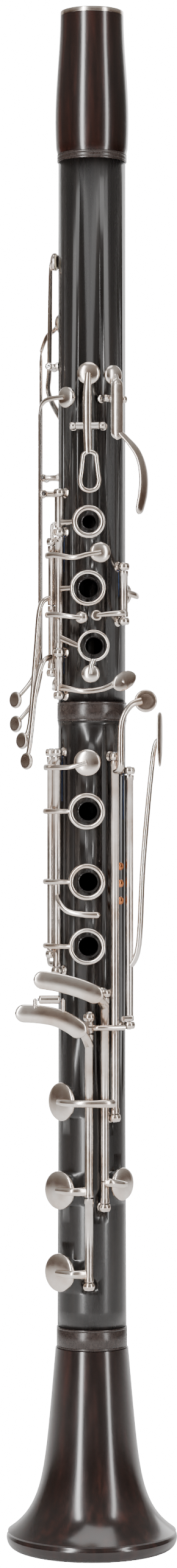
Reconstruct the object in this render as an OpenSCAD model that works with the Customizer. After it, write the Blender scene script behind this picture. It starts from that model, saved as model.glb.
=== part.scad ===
// Simple-system clarinet in low G: four wooden sections, a flared bell and plated keywork.
// Origin: centre of the bell rim. +Z runs up the bore to the barrel.
// The finger holes face -Y. Angles round the body are measured from -Y, positive towards +X.

/* [Wooden sections] */
// Length of the barrel
barrel_len = 66.5; // [55:0.5:85]
// Length of the upper joint, without its tenons
upper_len = 237.5; // [234:0.5:300]
// Length of the lower joint, without its tenon
lower_len = 274.5; // [270:0.5:340]
// Length of the bell
bell_len = 97.5; // [85:0.5:130]
// Outer radius of both joints
joint_r = 14.75; // [14:0.05:15.2]
// Outer radius of the lower joint at the bell
joint_foot_r = 15.2; // [14.5:0.05:16]
// Radius of the main bore
bore_r = 7.4; // [6:0.1:7.8]
// Radius of the barrel at its top
barrel_top_r = 13.9; // [13.6:0.1:15]
// Radius of the barrel at its widest
barrel_max_r = 16.1; // [15.3:0.1:18]
// Radius of the barrel at its foot
barrel_foot_r = 15.25; // [15:0.05:16]
// Radius of the bell at its rim
bell_rim_r = 37.5; // [34:0.5:46]

/* [Sockets and tenons] */
// Radius of the socket that takes the mouthpiece
mouth_socket_r = 11.3; // [10.5:0.05:11.6]
// Depth of the mouthpiece socket
mouth_socket_len = 16.5; // [14:0.5:20]
// Radius of the tenon under the barrel
top_tenon_r = 10.9; // [10:0.1:11.2]
// Radius of the tenon between the joints
middle_tenon_r = 11.3; // [10.5:0.1:11.6]
// Radius of the tenon inside the bell
bell_tenon_r = 11.9; // [11:0.1:12.2]
// Length of every tenon
tenon_len = 18.5; // [15:0.5:20]
// Radial clearance between a tenon and its socket
tenon_gap = 0.08; // [0.04:0.01:0.1]

/* [Socket rings] */
// Height of the ring on top of the barrel
top_ring_h = 2.2; // [1.5:0.1:5]
// Height of the ring at the foot of the barrel
base_ring_h = 3.6; // [2:0.1:8]
// Height of the ring on the lower joint
middle_ring_h = 8.5; // [5:0.1:12]
// Height of the ring on the bell
bell_ring_h = 9.3; // [5:0.1:12]

/* [Keywork] */
// Radius of the steel axles
axle_r = 0.95; // [0.7:0.05:1.1]
// Outer radius of the hinge tubes
tube_r = 2.1; // [1.8:0.05:2.2]
// Radial running clearance between an axle and its tube
run_gap = 0.04; // [0.02:0.01:0.08]
// Clearance at each end of a hinge tube
end_gap = 0.25; // [0.2:0.05:0.5]
// Distance from the body axis to the hinge axles
rod_reach = 18.1; // [18:0.1:19]
// Radius of the round key arms
arm_r = 1.1; // [0.8:0.05:1.2]
// Height of the round tone-hole chimneys above the wood
chimney_h = 1.5; // [1:0.1:2]
// Radius of the small pad cups
small_cup_r = 4.6; // [3.8:0.1:4.9]
// Radius of the three large open pad cups
large_cup_r = 8.4; // [7:0.1:8.8]
// Swing of a finger ring, in degrees
ring_swing = 5; // [3:0.5:5.5]
// Swing of an open-standing large key, in degrees
open_swing = 7.5; // [5:0.5:8]

/* [Hidden] */
$fn = 48;
slack = 0.02;                                  // between a pad, pin or screw and its seat
lower_z = bell_len;                            // foot of the lower joint
upper_z = lower_z + lower_len;                 // foot of the upper joint
barrel_z = upper_z + upper_len;                // foot of the barrel
top_z = barrel_z + barrel_len;                 // top of the barrel
socket_len = tenon_len + 1;
ring_wall = 1.4;                               // radial thickness of the socket rings
foot_bore_r = bore_r + 2.9;                    // bore where the lower joint meets the bell
flare_z = lower_z + 100;                       // the bore starts to open here
seat_h = 0.6;                                  // pad seats stand this far off the wood
pad_gap = 0.3;                                 // from a closed pad to its seat
seat_r = joint_r + seat_h;                     // top of a small pad seat, from the body axis
pad_r0 = seat_r + pad_gap;                     // underside of a closed small pad
large_seat_r = joint_r + 1.1;
large_pad_r0 = large_seat_r + pad_gap;
finger_r0 = joint_r + chimney_h;               // top of a finger chimney
pad_h = 1.4;                                   // thickness of a pad
cup_h = 3.0;                                   // from the pad's face to the crown of the cup
cup_wall = 0.45;
post_head_h = 3.2;
post_shank_r = 1.3;
post_depth = 2.6;                              // how deep a post is screwed into the wood
over_r = rod_reach + tube_r + 0.5 + arm_r;     // an arm at this reach clears every hinge tube
lug_r = rod_reach + tube_r + 0.3 + 0.4 + 0.8;  // the first ring's lug passes over a post at this reach
seat_wall = 1.1;
knuckle = 1.2;                                 // ball at a bend, as a share of the arm's radius
thinning = 0.035;                              // an arm thins by this share at each bend

// Each rod is [angle round the body, distance from the body axis].
rod_a = [-52, rod_reach];                      // upper joint, rings and C sharp key
rod_b = [-71, rod_reach + 0.2];                // upper joint, side keys
rod_x = [49.5, rod_reach];                     // upper joint, cross key
rod_g = [-57, rod_reach];                      // lower joint, fork key
rod_h = [-76, rod_reach + 0.2];                // lower joint, ring key
rod_c = [33, rod_reach];                       // lower joint, F sharp key
rod_d = [62, rod_reach + 0.3];                 // lower joint, E lever
rod_1 = [-4, rod_reach + 0.2];                 // lower joint, F key and E key
rod_2 = [17.5, rod_reach + 0.2];               // lower joint, A flat key

// Finger rings: [height, sideways place, ring outer radius, ring inner radius, shift when closed]
ring_1 = [upper_z + 78.3, -1.2, 7.3, 4.8, 0.3];
ring_2 = [upper_z + 49.4, -1.5, 7.9, 6.0, 0.3];
ring_3 = [upper_z + 24.2, 0.9, 7.1, 5.6, 0.3];
ring_4 = [lower_z + 226.6, -1.7, 8.1, 5.9, 0.55];
ring_5 = [lower_z + 195.8, -1.6, 8.1, 5.9, 0.55];
ring_6 = [lower_z + 167.7, -1.5, 8.1, 6.1, 0.55];
ring_h = 1.6;
chimney_gap = 1.0;                             // between a ring and its chimney

// Pads: [angle, height, cup radius, distance of the closed pad's face from the axis]
register_pad_at = [-105, upper_z + 194.5, 4.0, pad_r0];
throat_a_pad_at = [-5, upper_z + 143, 5.0, pad_r0];
g_sharp_pad_at = [33, upper_z + 142.5, 4.4, pad_r0];
trill_1_pad_at = [-41, upper_z + 133, small_cup_r, pad_r0];
trill_2_pad_at = [-129, upper_z + 168, small_cup_r, pad_r0];
b_flat_pad_at = [12, upper_z + 65, small_cup_r, pad_r0];
side_f_pad_at = [-15.5, upper_z + 36.6, 2.8, pad_r0];
vent_pad_at = [0, upper_z + 12, 4.0, pad_r0];
cross_pad_at = [118, upper_z + 48, 4.4, pad_r0];
c_sharp_pad_at = [-126, upper_z + 12.5, 4.4, pad_r0];
ring_key_pad_at = [-3, lower_z + 247.8, 5.9, pad_r0];
fork_pad_at = [-120, lower_z + 167, 4.6, pad_r0];
a_flat_pad_at = [50, lower_z + 63.5, 7.2, large_pad_r0];
f_sharp_pad_at = [-50, lower_z + 99.5, large_cup_r, large_pad_r0];
f_pad_at = [-50, lower_z + 61, large_cup_r, large_pad_r0];
e_pad_at = [-50, lower_z + 25, large_cup_r, large_pad_r0];

upper_pads = [register_pad_at, throat_a_pad_at, g_sharp_pad_at, trill_1_pad_at, trill_2_pad_at,
              b_flat_pad_at, side_f_pad_at, vent_pad_at, cross_pad_at, c_sharp_pad_at];
lower_pads = [ring_key_pad_at, fork_pad_at];
large_pads = [a_flat_pad_at, f_sharp_pad_at, f_pad_at, e_pad_at];

// Where the hinge tubes start and end
span_ring_1 = [upper_z + 76, upper_z + 89.6];
span_upper = [upper_z + 23.4, upper_z + 72.2];
span_c_sharp = [upper_z + 4.6, upper_z + 19.6];
span_b_flat = [upper_z + 42.4, upper_z + 68.5];
span_side_f = [upper_z + 14.6, upper_z + 42.1];
span_cross = [upper_z + 37, upper_z + 57.2];
span_lower = [lower_z + 165.7, lower_z + 250.5];
span_fork = [lower_z + 158.6, lower_z + 250.5];
span_f_sharp = [lower_z + 94.7, lower_z + 248.7];
span_e_lever = [lower_z + 134.7, lower_z + 242.5];
span_a_flat = [lower_z + 55.8, lower_z + 145.5];
span_f = [lower_z + 58.5, lower_z + 129.5];
span_e = [lower_z + 21.5, lower_z + 58];
span_e_arm = [lower_z + 130, lower_z + 135];

// Posts stand just past the ends of the tubes: [rod, height]
function below(span) = span[0] - end_gap - post_head_h / 2;
function above(span) = span[1] + end_gap + post_head_h / 2;
upper_post_list = [[rod_a, above(span_ring_1)], [rod_a, below(span_ring_1)],
                   [rod_a, above(span_c_sharp)], [rod_a, below(span_c_sharp)],
                   [rod_b, above(span_b_flat)], [rod_b, below(span_side_f)],
                   [rod_x, above(span_cross)], [rod_x, below(span_cross)]];
lower_post_list = [[rod_h, above(span_lower)], [rod_h, below(span_lower)],
                   [rod_g, above(span_fork)], [rod_g, below(span_fork)],
                   [rod_c, above(span_f_sharp)], [rod_c, below(span_f_sharp)],
                   [rod_d, above(span_e_lever)], [rod_d, below(span_e_lever)]];
foot_post_list = [[rod_2, above(span_a_flat)], [rod_2, below(span_a_flat)],
                  [rod_1, above(span_e_arm)], [rod_1, below(span_e)]];

// Rocking keys: [angle, height, distance of the pin from the body axis, half width of the yoke]
yoke_register = [-105, upper_z + 148, 18.4, 4.2];
yoke_throat_a = [-6, upper_z + 120, 18.4, 6.5];
yoke_g_sharp = [33, upper_z + 132, 18.2, 4.6];
yoke_trill_1 = [-86, upper_z + 91.5, 21.4, 3.2];
yoke_trill_2 = [-103, upper_z + 99, 21.4, 3.2];
yokes = [yoke_register, yoke_throat_a, yoke_g_sharp, yoke_trill_1, yoke_trill_2];
yoke_post_r = 1.1;
yoke_head_r = 1.7;
pin_r = 0.8;
rock_tube_r = 1.7;

guide_post_list = [[46, lower_z + 187.5], [46, lower_z + 195], [46, lower_z + 202.5]];

// Needle springs: [rod, height of the post, direction along the rod, length]
spring_list = [[rod_a, below(span_ring_1), -1, 16], [rod_a, above(span_c_sharp), -1, 8],
               [rod_b, above(span_b_flat), -1, 14], [rod_b, below(span_side_f), 1, 14],
               [rod_x, above(span_cross), -1, 12], [rod_h, above(span_lower), -1, 20],
               [rod_g, above(span_fork), -1, 20], [rod_c, above(span_f_sharp), -1, 22],
               [rod_d, above(span_e_lever), -1, 20], [rod_2, below(span_a_flat), 1, 18],
               [rod_1, below(span_e), 1, 18]];
spring_r = 0.3;

thumb_hole_z = upper_z + 90;
thumb_tube_r = 5.2;
thumb_rest_z = lower_z + 200;
rest_wall = 1.6;
rest_h = 26;
rest_hook = [11, 13, 2.4];
rest_screw_z = [6, 20];

// Two little-finger plates and the roller between them: [sideways place, height] of each end
plate_t = 2.0;
plate_y = 24.6;                                // front of the body axis to the plates' mid plane
a_flat_plate = [[-21.5, lower_z + 153.5], [-9, lower_z + 151], [1.5, lower_z + 146.5]];
f_plate = [[-29.5, lower_z + 139], [-14, lower_z + 137], [-5.5, lower_z + 132]];
plate_end_r = 4.0;
roller_at = [-18.5, lower_z + 145.0];
roller_r = 1.9;
roller_len = 9;

silver = "#d8d2cb";
steel = "#9a9a9c";
black_wood = "#2b2726";
brown_wood = "#3d2a27";
cork = "#b58a5c";
felt = "#e6dcc8";
band = "#4a4340";

// ---- helpers

function polar(a, r, z) = [r * sin(a), -r * cos(a), z];
function centre(rod, z) = polar(rod[0], rod[1], z);

// Local -Y points straight out of the body at angle a.
module at(a, r, z) {
    rotate([0, 0, a]) translate([0, -r, z]) children();
}

// Child's +Z points straight out of the body at angle a.
module facing(a, r, z) {
    at(a, r, z) rotate([90, 0, 0]) children();
}

// Turns a child that points up so that it points from p to q.
module aimed(p, q) {
    v = q - p;
    rotate([0, acos(v[2] / norm(v)), atan2(v[1], v[0])]) children();
}

module bar(p, q, r) {
    translate(p) aimed(p, q) cylinder(r = r, h = norm(q - p), $fn = 12);
}

// A twelve-sided arm through a list of points, thinning a little at each bend. The ball at each bend is
// larger than the arm, and has its poles on the arm's own line.
module arm(points, r = arm_r) {
    for (i = [0 : len(points) - 2]) {
        bar(points[i], points[i + 1], r * (1 - thinning * i));
        translate(points[i + 1]) aimed(points[i], points[i + 1]) sphere(r = r * knuckle, $fn = 12);
    }
}

module along(rod, z0, z1, r) {
    translate(centre(rod, z0)) cylinder(r = r, h = z1 - z0);
}

module swing(rod, deg) {
    p = centre(rod, 0);
    translate(p) rotate([0, 0, deg]) translate(-p) children();
}

// A hinge tube with its children joined on and the axle's hole right through.
module rod_key(rod, span, r = tube_r, hole_r = axle_r + run_gap) {
    difference() {
        union() {
            along(rod, span[0], span[1], r);
            children();
        }
        along(rod, span[0] - 1, span[1] + 1, hole_r);
    }
}

module cup(at_pad) {
    r = at_pad[2];
    facing(at_pad[0], at_pad[3], at_pad[1]) rotate(37.5) rotate_extrude()
        polygon([[0, pad_h], [r - cup_wall, pad_h], [r - cup_wall, 0.6], [r, 0.6], [r, 1.8],
                 [r * 0.82, 2.5], [r * 0.45, 2.85], [0, cup_h]]);
}

module pad(at_pad) {
    color(felt) facing(at_pad[0], at_pad[3], at_pad[1])
        cylinder(r = at_pad[2] - cup_wall - slack, h = pad_h);
}

// Where an arm ends on a cup, with its ball just clear of the pad.
function crown(at_pad, r = arm_r) = polar(at_pad[0], at_pad[3] + pad_h + 0.15 + r * knuckle, at_pad[1]);

// Ring over a chimney, drawn closed. It is shifted sideways by ring[4], half its side travel.
module finger_ring(ring) {
    translate([ring[1] + ring[4], -finger_r0, ring[0]]) rotate([90, 0, 0]) difference() {
        cylinder(r = ring[2], h = ring_h);
        translate([0, 0, -1]) cylinder(r = ring[3], h = ring_h + 2);
    }
}

function ring_rim(ring) = [ring[1] + ring[4] - (ring[2] + ring[3]) / 2, -finger_r0 - ring_h / 2, ring[0]];

module chimney(ring) {
    translate([ring[1], 0, ring[0]]) rotate([90, 0, 0])
        cylinder(r = ring[3] - chimney_gap, h = finger_r0);
}

module chimney_hole(ring) {
    translate([ring[1], 0, ring[0]]) rotate([90, 0, 0])
        cylinder(r = ring[3] - chimney_gap - 0.9, h = finger_r0 + 1);
}

module pad_seat(at_pad, top) {
    facing(at_pad[0], 0, at_pad[1]) cylinder(r = at_pad[2] - seat_wall, h = top);
}

module pad_hole(at_pad) {
    facing(at_pad[0], 0, at_pad[1]) cylinder(r = at_pad[2] - 2 * seat_wall, h = joint_r + 3);
}

// ---- posts, pins and springs

module post(rod, z) {
    difference() {
        union() {
            at(rod[0], rod[1], z - post_head_h / 2) cylinder(r = tube_r + 0.3, h = post_head_h);
            facing(rod[0], joint_r - post_depth, z) cylinder(r = post_shank_r, h = rod[1] - joint_r + post_depth);
        }
        along(rod, z - post_head_h, z + post_head_h, axle_r + slack);
    }
}

module post_hole(rod, z) {
    facing(rod[0], joint_r - post_depth - slack, z) cylinder(r = post_shank_r + slack, h = 6);
}

module yoke_leg(yoke, side) {
    at(yoke[0], 0, yoke[1]) translate([side * yoke[3], 0, 0]) difference() {
        union() {
            translate([0, -9.6, 0]) rotate([90, 0, 0]) cylinder(r = yoke_post_r, h = yoke[2] - 9.6);
            translate([-1.2, -yoke[2], 0]) rotate([0, 90, 0]) cylinder(r = yoke_head_r, h = 2.4);
        }
        translate([-3, -yoke[2], 0]) rotate([0, 90, 0]) cylinder(r = pin_r + slack, h = 6);
    }
}

module yoke_holes(yoke) {
    for (side = [-1, 1])
        at(yoke[0], 0, yoke[1]) translate([side * yoke[3], -9.6 + slack, 0]) rotate([90, 0, 0])
            cylinder(r = yoke_post_r + slack, h = 9);
}

module yoke_pin(yoke, r, half) {
    at(yoke[0], yoke[2], yoke[1]) translate([-half, 0, 0]) rotate([0, 90, 0]) cylinder(r = r, h = 2 * half);
}

// A rocking key: a short hinge tube across the body, with its children joined on.
module rocking_key(yoke) {
    difference() {
        union() {
            yoke_pin(yoke, rock_tube_r, yoke[3] - 1.2 - end_gap);
            children();
        }
        yoke_pin(yoke, pin_r + run_gap, yoke[3] + 2);
    }
}

// ---- wooden sections

function barrel_outline(n = 8) = concat(
    [for (i = [0 : n]) let (t = i / n)
        [barrel_top_r + (barrel_max_r - barrel_top_r) * (0.5 - 0.5 * cos(180 * t)), top_z - 0.73 * barrel_len * t]],
    [for (i = [1 : n / 2]) let (t = 2 * i / n)
        [barrel_max_r - (barrel_max_r - barrel_foot_r) * t * t, top_z - barrel_len * (0.73 + 0.27 * t)]]);

module barrel() {
    color(brown_wood) difference() {
        rotate_extrude($fn = 72) polygon(concat([[0, top_z]], barrel_outline(), [[0, barrel_z]]));
        translate([0, 0, barrel_z - 1]) cylinder(r = bore_r, h = barrel_len + 2);
        translate([0, 0, top_z - mouth_socket_len]) cylinder(r = mouth_socket_r, h = mouth_socket_len + 1);
        translate([0, 0, barrel_z - 1]) cylinder(r = top_tenon_r + tenon_gap, h = socket_len + 1);
        ring_seat(barrel_foot_r, barrel_z - 1, base_ring_h + 1);
        ring_seat(barrel_top_r, top_z - top_ring_h, top_ring_h + 1);
    }
}

module ring_seat(r, z, h) {
    translate([0, 0, z]) difference() {
        cylinder(r = r + 5, h = h);
        translate([0, 0, -1]) cylinder(r = r - ring_wall, h = h + 2);
    }
}

module socket_ring(r, z, h) {
    color(band) translate([0, 0, z]) rotate_extrude($fn = 72)
        polygon([[r - ring_wall, 0], [r, 0], [r + 0.12, h / 2], [r, h], [r - ring_wall, h]]);
}

module barrel_top_ring() {
    color(silver) translate([0, 0, top_z - top_ring_h]) difference() {
        cylinder(r = barrel_top_r, h = top_ring_h);
        translate([0, 0, -1]) cylinder(r = barrel_top_r - ring_wall, h = top_ring_h + 2);
    }
}

module barrel_base_ring() {
    socket_ring(barrel_foot_r, barrel_z, base_ring_h);
}

module cork_groove(r, z) {
    translate([0, 0, z]) difference() {
        cylinder(r = r + 1, h = tenon_len - 6);
        translate([0, 0, -1]) cylinder(r = r - 1.1, h = tenon_len);
    }
}

module upper_joint() {
    color(black_wood) difference() {
        union() {
            translate([0, 0, upper_z]) cylinder(r = joint_r, h = upper_len - slack, $fn = 72);
            translate([0, 0, barrel_z - 1]) cylinder(r = top_tenon_r, h = tenon_len + 1);
            translate([0, 0, upper_z - tenon_len]) cylinder(r = middle_tenon_r, h = tenon_len + 1);
            for (ring = [ring_1, ring_2, ring_3]) chimney(ring);
            for (p = upper_pads) pad_seat(p, seat_r);
        }
        translate([0, 0, upper_z - tenon_len - 1]) cylinder(r = bore_r, h = upper_len + 2 * tenon_len + 2);
        for (ring = [ring_1, ring_2, ring_3]) chimney_hole(ring);
        for (p = upper_pads) if (p != register_pad_at) pad_hole(p);
        for (p = upper_post_list) post_hole(p[0], p[1]);
        for (y = yokes) yoke_holes(y);
        facing(180, 0, thumb_hole_z) cylinder(r = thumb_tube_r, h = 20);
        facing(-105, 0, register_pad_at[1]) cylinder(r = 1.9, h = 20);
        cork_groove(top_tenon_r, barrel_z + 3);
        cork_groove(middle_tenon_r, upper_z - tenon_len + 3);
    }
}

module lower_joint() {
    top_wood_r = joint_r + 0.45;
    color(black_wood) difference() {
        union() {
            rotate_extrude($fn = 72) polygon([[0, lower_z], [joint_foot_r, lower_z], [joint_r, flare_z],
                [joint_r, upper_z - middle_ring_h - 2], [top_wood_r, upper_z - middle_ring_h],
                [top_wood_r, upper_z], [0, upper_z]]);
            translate([0, 0, lower_z - tenon_len]) cylinder(r = bell_tenon_r, h = tenon_len + 1);
            for (ring = [ring_4, ring_5, ring_6]) chimney(ring);
            for (p = lower_pads) pad_seat(p, seat_r);
            for (p = large_pads) pad_seat(p, large_seat_r);
        }
        translate([0, 0, lower_z - tenon_len - 1]) cylinder(r1 = foot_bore_r, r2 = bore_r, h = flare_z - lower_z + tenon_len + 1);
        translate([0, 0, flare_z - 0.01]) cylinder(r = bore_r, h = upper_z - flare_z + 1);
        translate([0, 0, upper_z - socket_len]) cylinder(r = middle_tenon_r + tenon_gap, h = socket_len + 1);
        ring_seat(top_wood_r, upper_z - middle_ring_h, middle_ring_h + 1);
        for (ring = [ring_4, ring_5, ring_6]) chimney_hole(ring);
        for (p = concat(lower_pads, large_pads)) pad_hole(p);
        for (p = concat(lower_post_list, foot_post_list)) post_hole(p[0], p[1]);
        for (g = guide_post_list) post_hole([g[0], rod_reach], g[1]);
        for (z = rest_screw_z) facing(180, 9.8, thumb_rest_z + z) cylinder(r = 1.1 + slack, h = 9);
        cork_groove(bell_tenon_r, lower_z - tenon_len + 3);
    }
}

module middle_ring() {
    socket_ring(joint_r + 0.45, upper_z - middle_ring_h, middle_ring_h);
}

module bell_ring() {
    socket_ring(joint_foot_r + 0.25, bell_len - bell_ring_h, bell_ring_h);
}

// Outside of the bell: a slow cone plus a flare that dies away upwards.
function bell_out(z) = joint_foot_r + 0.085 * (bell_len - z) + (bell_rim_r - 8) * exp(-z / 10.3);
function bell_in(z) = bell_out(z + 7) - 6;
lip = [4.2, 5];                                // width and height of the rounded lip

module bell() {
    steps = 14;
    outer = [for (i = [0 : steps]) let (z = 7.8 + (bell_len - 7.8) * pow(i / steps, 1.6))
        [min(bell_out(z), bell_rim_r - 0.3), z]];
    inner = [for (i = [steps : -1 : 0]) let (z = (bell_len - socket_len) * pow(i / steps, 1.6)) [bell_in(z), z]];
    round_lip = [for (t = [90 : -15 : 0]) [bell_rim_r - lip[0] + lip[0] * cos(t), lip[1] - lip[1] * sin(t)]];
    color(brown_wood) difference() {
        rotate_extrude($fn = 96) polygon(concat(inner, round_lip, outer, [[bell_tenon_r, bell_len],
            [bell_tenon_r, bell_len - socket_len]]));
        translate([0, 0, bell_len - socket_len]) cylinder(r = bell_tenon_r + tenon_gap, h = socket_len + 1);
        ring_seat(joint_foot_r + 0.25, bell_len - bell_ring_h, bell_ring_h + 1);
    }
}

module cork_sleeve(r, z) {
    translate([0, 0, z + slack]) difference() {
        cylinder(r = r + 0.03, h = tenon_len - 6 - 2 * slack);
        translate([0, 0, -1]) cylinder(r = r - 1.1 + slack, h = tenon_len);
    }
}

module tenon_corks() {
    color(cork) {
        cork_sleeve(top_tenon_r, barrel_z + 3);
        cork_sleeve(middle_tenon_r, upper_z - tenon_len + 3);
        cork_sleeve(bell_tenon_r, lower_z - tenon_len + 3);
    }
}

module thumb_tube() {
    color(band) facing(180, bore_r + 0.6, thumb_hole_z) difference() {
        cylinder(r = thumb_tube_r - slack, h = joint_r + 2.2 - bore_r);
        translate([0, 0, -1]) cylinder(r = thumb_tube_r - 1.3, h = joint_r);
    }
}

module register_vent() {
    color(steel) facing(-105, bore_r - 1.2, register_pad_at[1]) difference() {
        cylinder(r = 1.9 - slack, h = seat_r - bore_r + 1.2);
        translate([0, 0, -1]) cylinder(r = 0.9, h = joint_r);
    }
}

module thumb_rest() {
    reach = joint_r + rest_wall;
    color(silver) difference() {
        union() {
            translate([0, 0, thumb_rest_z]) rotate([0, 0, 68]) rotate_extrude(angle = 44, $fn = 72)
                translate([joint_r + slack, 0]) square([rest_wall, rest_h]);
            at(180, 0, thumb_rest_z) translate([-rest_hook[0] / 2, -reach - rest_hook[1], 0])
                cube([rest_hook[0], rest_hook[1] + rest_wall / 2, rest_hook[2]]);
        }
        for (z = rest_screw_z) facing(180, joint_r - 1, thumb_rest_z + z) cylinder(r = 1.1 + slack, h = 9);
    }
}

module thumb_rest_screws() {
    color(steel) for (z = rest_screw_z) {
        facing(180, 10, thumb_rest_z + z) cylinder(r = 1.1, h = joint_r + rest_wall - 9.9);
        facing(180, joint_r + rest_wall + 0.1, thumb_rest_z + z) cylinder(r = 2, h = 0.9);
    }
}

module upper_posts() {
    color(silver) for (p = upper_post_list) post(p[0], p[1]);
}

module lower_posts() {
    color(silver) for (p = concat(lower_post_list, foot_post_list)) post(p[0], p[1]);
}

module yoke_posts() {
    color(silver) for (y = yokes) for (side = [-1, 1]) yoke_leg(y, side);
}

module guide_posts() {
    color("#a5683c") for (g = guide_post_list)
        facing(g[0], joint_r - post_depth, g[1]) cylinder(r = post_shank_r, h = rod_reach - joint_r + post_depth);
}

module axle(rod, low, high) {
    along(rod, low - post_head_h / 2 - 0.3, high + post_head_h / 2 + 0.3, axle_r);
}

module upper_axles() {
    color(steel) {
        axle(rod_a, below(span_c_sharp), above(span_ring_1));
        axle(rod_b, below(span_side_f), above(span_b_flat));
        axle(rod_x, below(span_cross), above(span_cross));
    }
}

module lower_axles() {
    color(steel) {
        axle(rod_h, below(span_lower), above(span_lower));
        axle(rod_g, below(span_fork), above(span_fork));
        axle(rod_c, below(span_f_sharp), above(span_f_sharp));
        axle(rod_d, below(span_e_lever), above(span_e_lever));
        axle(rod_2, below(span_a_flat), above(span_a_flat));
    }
}

module pivot_pins() {
    color(steel) for (y = yokes) yoke_pin(y, pin_r, y[3] + 1.3);
}

module needle_springs() {
    reach = joint_r + 0.75;
    color("#5b6a86") for (s = spring_list) {
        start = s[1] + s[2] * (post_shank_r + slack);
        bar(polar(s[0][0], reach, start), polar(s[0][0], reach, start + s[2] * s[3]), spring_r);
    }
}

// ---- keys of the upper joint

module register_key() {
    a = yoke_register[0];
    z = yoke_register[1];
    color(silver) rocking_key(yoke_register) {
        cup(register_pad_at);
        arm([crown(register_pad_at), polar(a, 18.9, z + 40), polar(a, 19.4, z), polar(a, 19.8, z - 10),
             polar(-135, 20.6, z - 20), polar(-160, 20.4, z - 30)]);
        facing(-170, 19.4, z - 34) cylinder(r = 5, h = 1.6);
    }
}

module register_pad() {
    pad(register_pad_at);
}

module throat_a_key() {
    a = yoke_throat_a[0];
    z = yoke_throat_a[1];
    color(silver) rocking_key(yoke_throat_a) {
        cup(throat_a_pad_at);
        arm([crown(throat_a_pad_at, 1.5), polar(a, 19.6, z + 14), polar(a, 19.6, z - 13)], 1.5);
        facing(-3, 18.9, z - 19.9) difference() {
            union() {
                translate([0, -4.4, 0]) cylinder(r = 5.2, h = 1.6);
                translate([-3.9, -4.4, 0]) cube([7.8, 13.9, 1.6]);
            }
            translate([0, -4.4, -1]) cylinder(r = 2.9, h = 4);
            translate([-2.4, -4.4, -1]) cube([4.8, 11.6, 4]);
        }
    }
}

module throat_a_pad() {
    pad(throat_a_pad_at);
}

module g_sharp_key() {
    a = yoke_g_sharp[0];
    z = yoke_g_sharp[1];
    color(silver) rocking_key(yoke_g_sharp) {
        cup(g_sharp_pad_at);
        at(a, 20, z - 18) translate([-3.1, -0.8, 0]) cube([6.2, 1.6, 27]);
        arm([polar(a, 20, z + 6), crown(g_sharp_pad_at, 1.2)], 1.2);
        arm([polar(a, 20, z - 15), polar(50, 22.2, z - 17), polar(65, 23.6, z - 24)], 1.3);
        facing(66, 22.7, z - 50) linear_extrude(1.8) {
            translate([0, 3]) circle(r = 3);
            translate([-3, 3]) square([6, 12]);
            translate([-3.9, 15]) square([7.8, 12]);
            translate([0, 27]) circle(r = 3.9);
        }
    }
}

module g_sharp_pad() {
    pad(g_sharp_pad_at);
}

// Long flat lever of a trill key, from its foot up to the height of its pad arm.
module trill_lever(yoke, foot_z, head_z) {
    at(yoke[0], yoke[2] + 1.6, foot_z) translate([-1.5, -0.7, 0]) cube([3, 1.4, head_z - foot_z]);
}

module side_touch(x, y, z, turn) {
    translate([x, y, z]) rotate([0, 0, turn]) rotate([90, 0, 0]) cylinder(r = 3.8, h = 1.8, center = true);
}

module trill_key_1() {
    y = yoke_trill_1;
    low = upper_z + 21;
    high = upper_z + 130;
    reach = y[2] + 1.6;
    color(silver) rocking_key(y) {
        cup(trill_1_pad_at);
        trill_lever(y, low, high);
        arm([polar(y[0], reach, high - 2), polar(-70, 21.4, high + 0.5), crown(trill_1_pad_at)], 1.2);
        arm([polar(y[0], reach, low + 2), [-25.8, -1.2, upper_z + 11], [-32.6, -1.2, upper_z + 2]]);
        side_touch(-33.5, -0.8, upper_z + 1, -50);
    }
}

module trill_pad_1() {
    pad(trill_1_pad_at);
}

module trill_key_2() {
    y = yoke_trill_2;
    low = upper_z + 12;
    high = upper_z + 156;
    reach = y[2] + 1.6;
    color(silver) rocking_key(y) {
        cup(trill_2_pad_at);
        trill_lever(y, low, high);
        arm([polar(y[0], reach, high), polar(-116, 22.2, high + 6), polar(-126, 20.4, high + 9.5),
             crown(trill_2_pad_at, 1.2)], 1.2);
        arm([polar(y[0], reach, low + 1), [-25.5, 4.6, upper_z + 1], [-32.5, 4.6, upper_z - 8.5]]);
        side_touch(-33.5, 4.6, upper_z - 9.5, -50);
    }
}

module trill_pad_2() {
    pad(trill_2_pad_at);
}

module side_b_flat_key() {
    color(silver) rod_key(rod_b, span_b_flat) {
        cup(b_flat_pad_at);
        arm([centre(rod_b, upper_z + 64), polar(-66, over_r, upper_z + 64), polar(-48, over_r, upper_z + 64),
             polar(-24, 20.4, upper_z + 63), polar(-4, 19, upper_z + 64.5), crown(b_flat_pad_at)]);
        arm([centre(rod_b, upper_z + 46), [-22.5, -7.5, upper_z + 42], [-24.5, -7, upper_z + 23],
             [-27.2, -6, upper_z - 9], [-30, -5, upper_z - 16]]);
        side_touch(-30.5, -5.2, upper_z - 17, -50);
    }
}

module side_b_flat_pad() {
    pad(b_flat_pad_at);
}

module side_f_sharp_key() {
    color(silver) rod_key(rod_b, span_side_f) {
        cup(side_f_pad_at);
        arm([centre(rod_b, upper_z + 38), polar(-66, over_r, upper_z + 38), polar(-48, over_r, upper_z + 38),
             polar(-28, 20, upper_z + 37), crown(side_f_pad_at)]);
        arm([centre(rod_b, upper_z + 20), [-21.5, -11, upper_z + 17], [-24.5, -11.5, upper_z + 5],
             [-27, -10.5, upper_z - 18], [-28.5, -10, upper_z - 25]]);
        side_touch(-28.5, -10.4, upper_z - 26, -50);
    }
}

module side_f_sharp_pad() {
    pad(side_f_pad_at);
}

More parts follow.
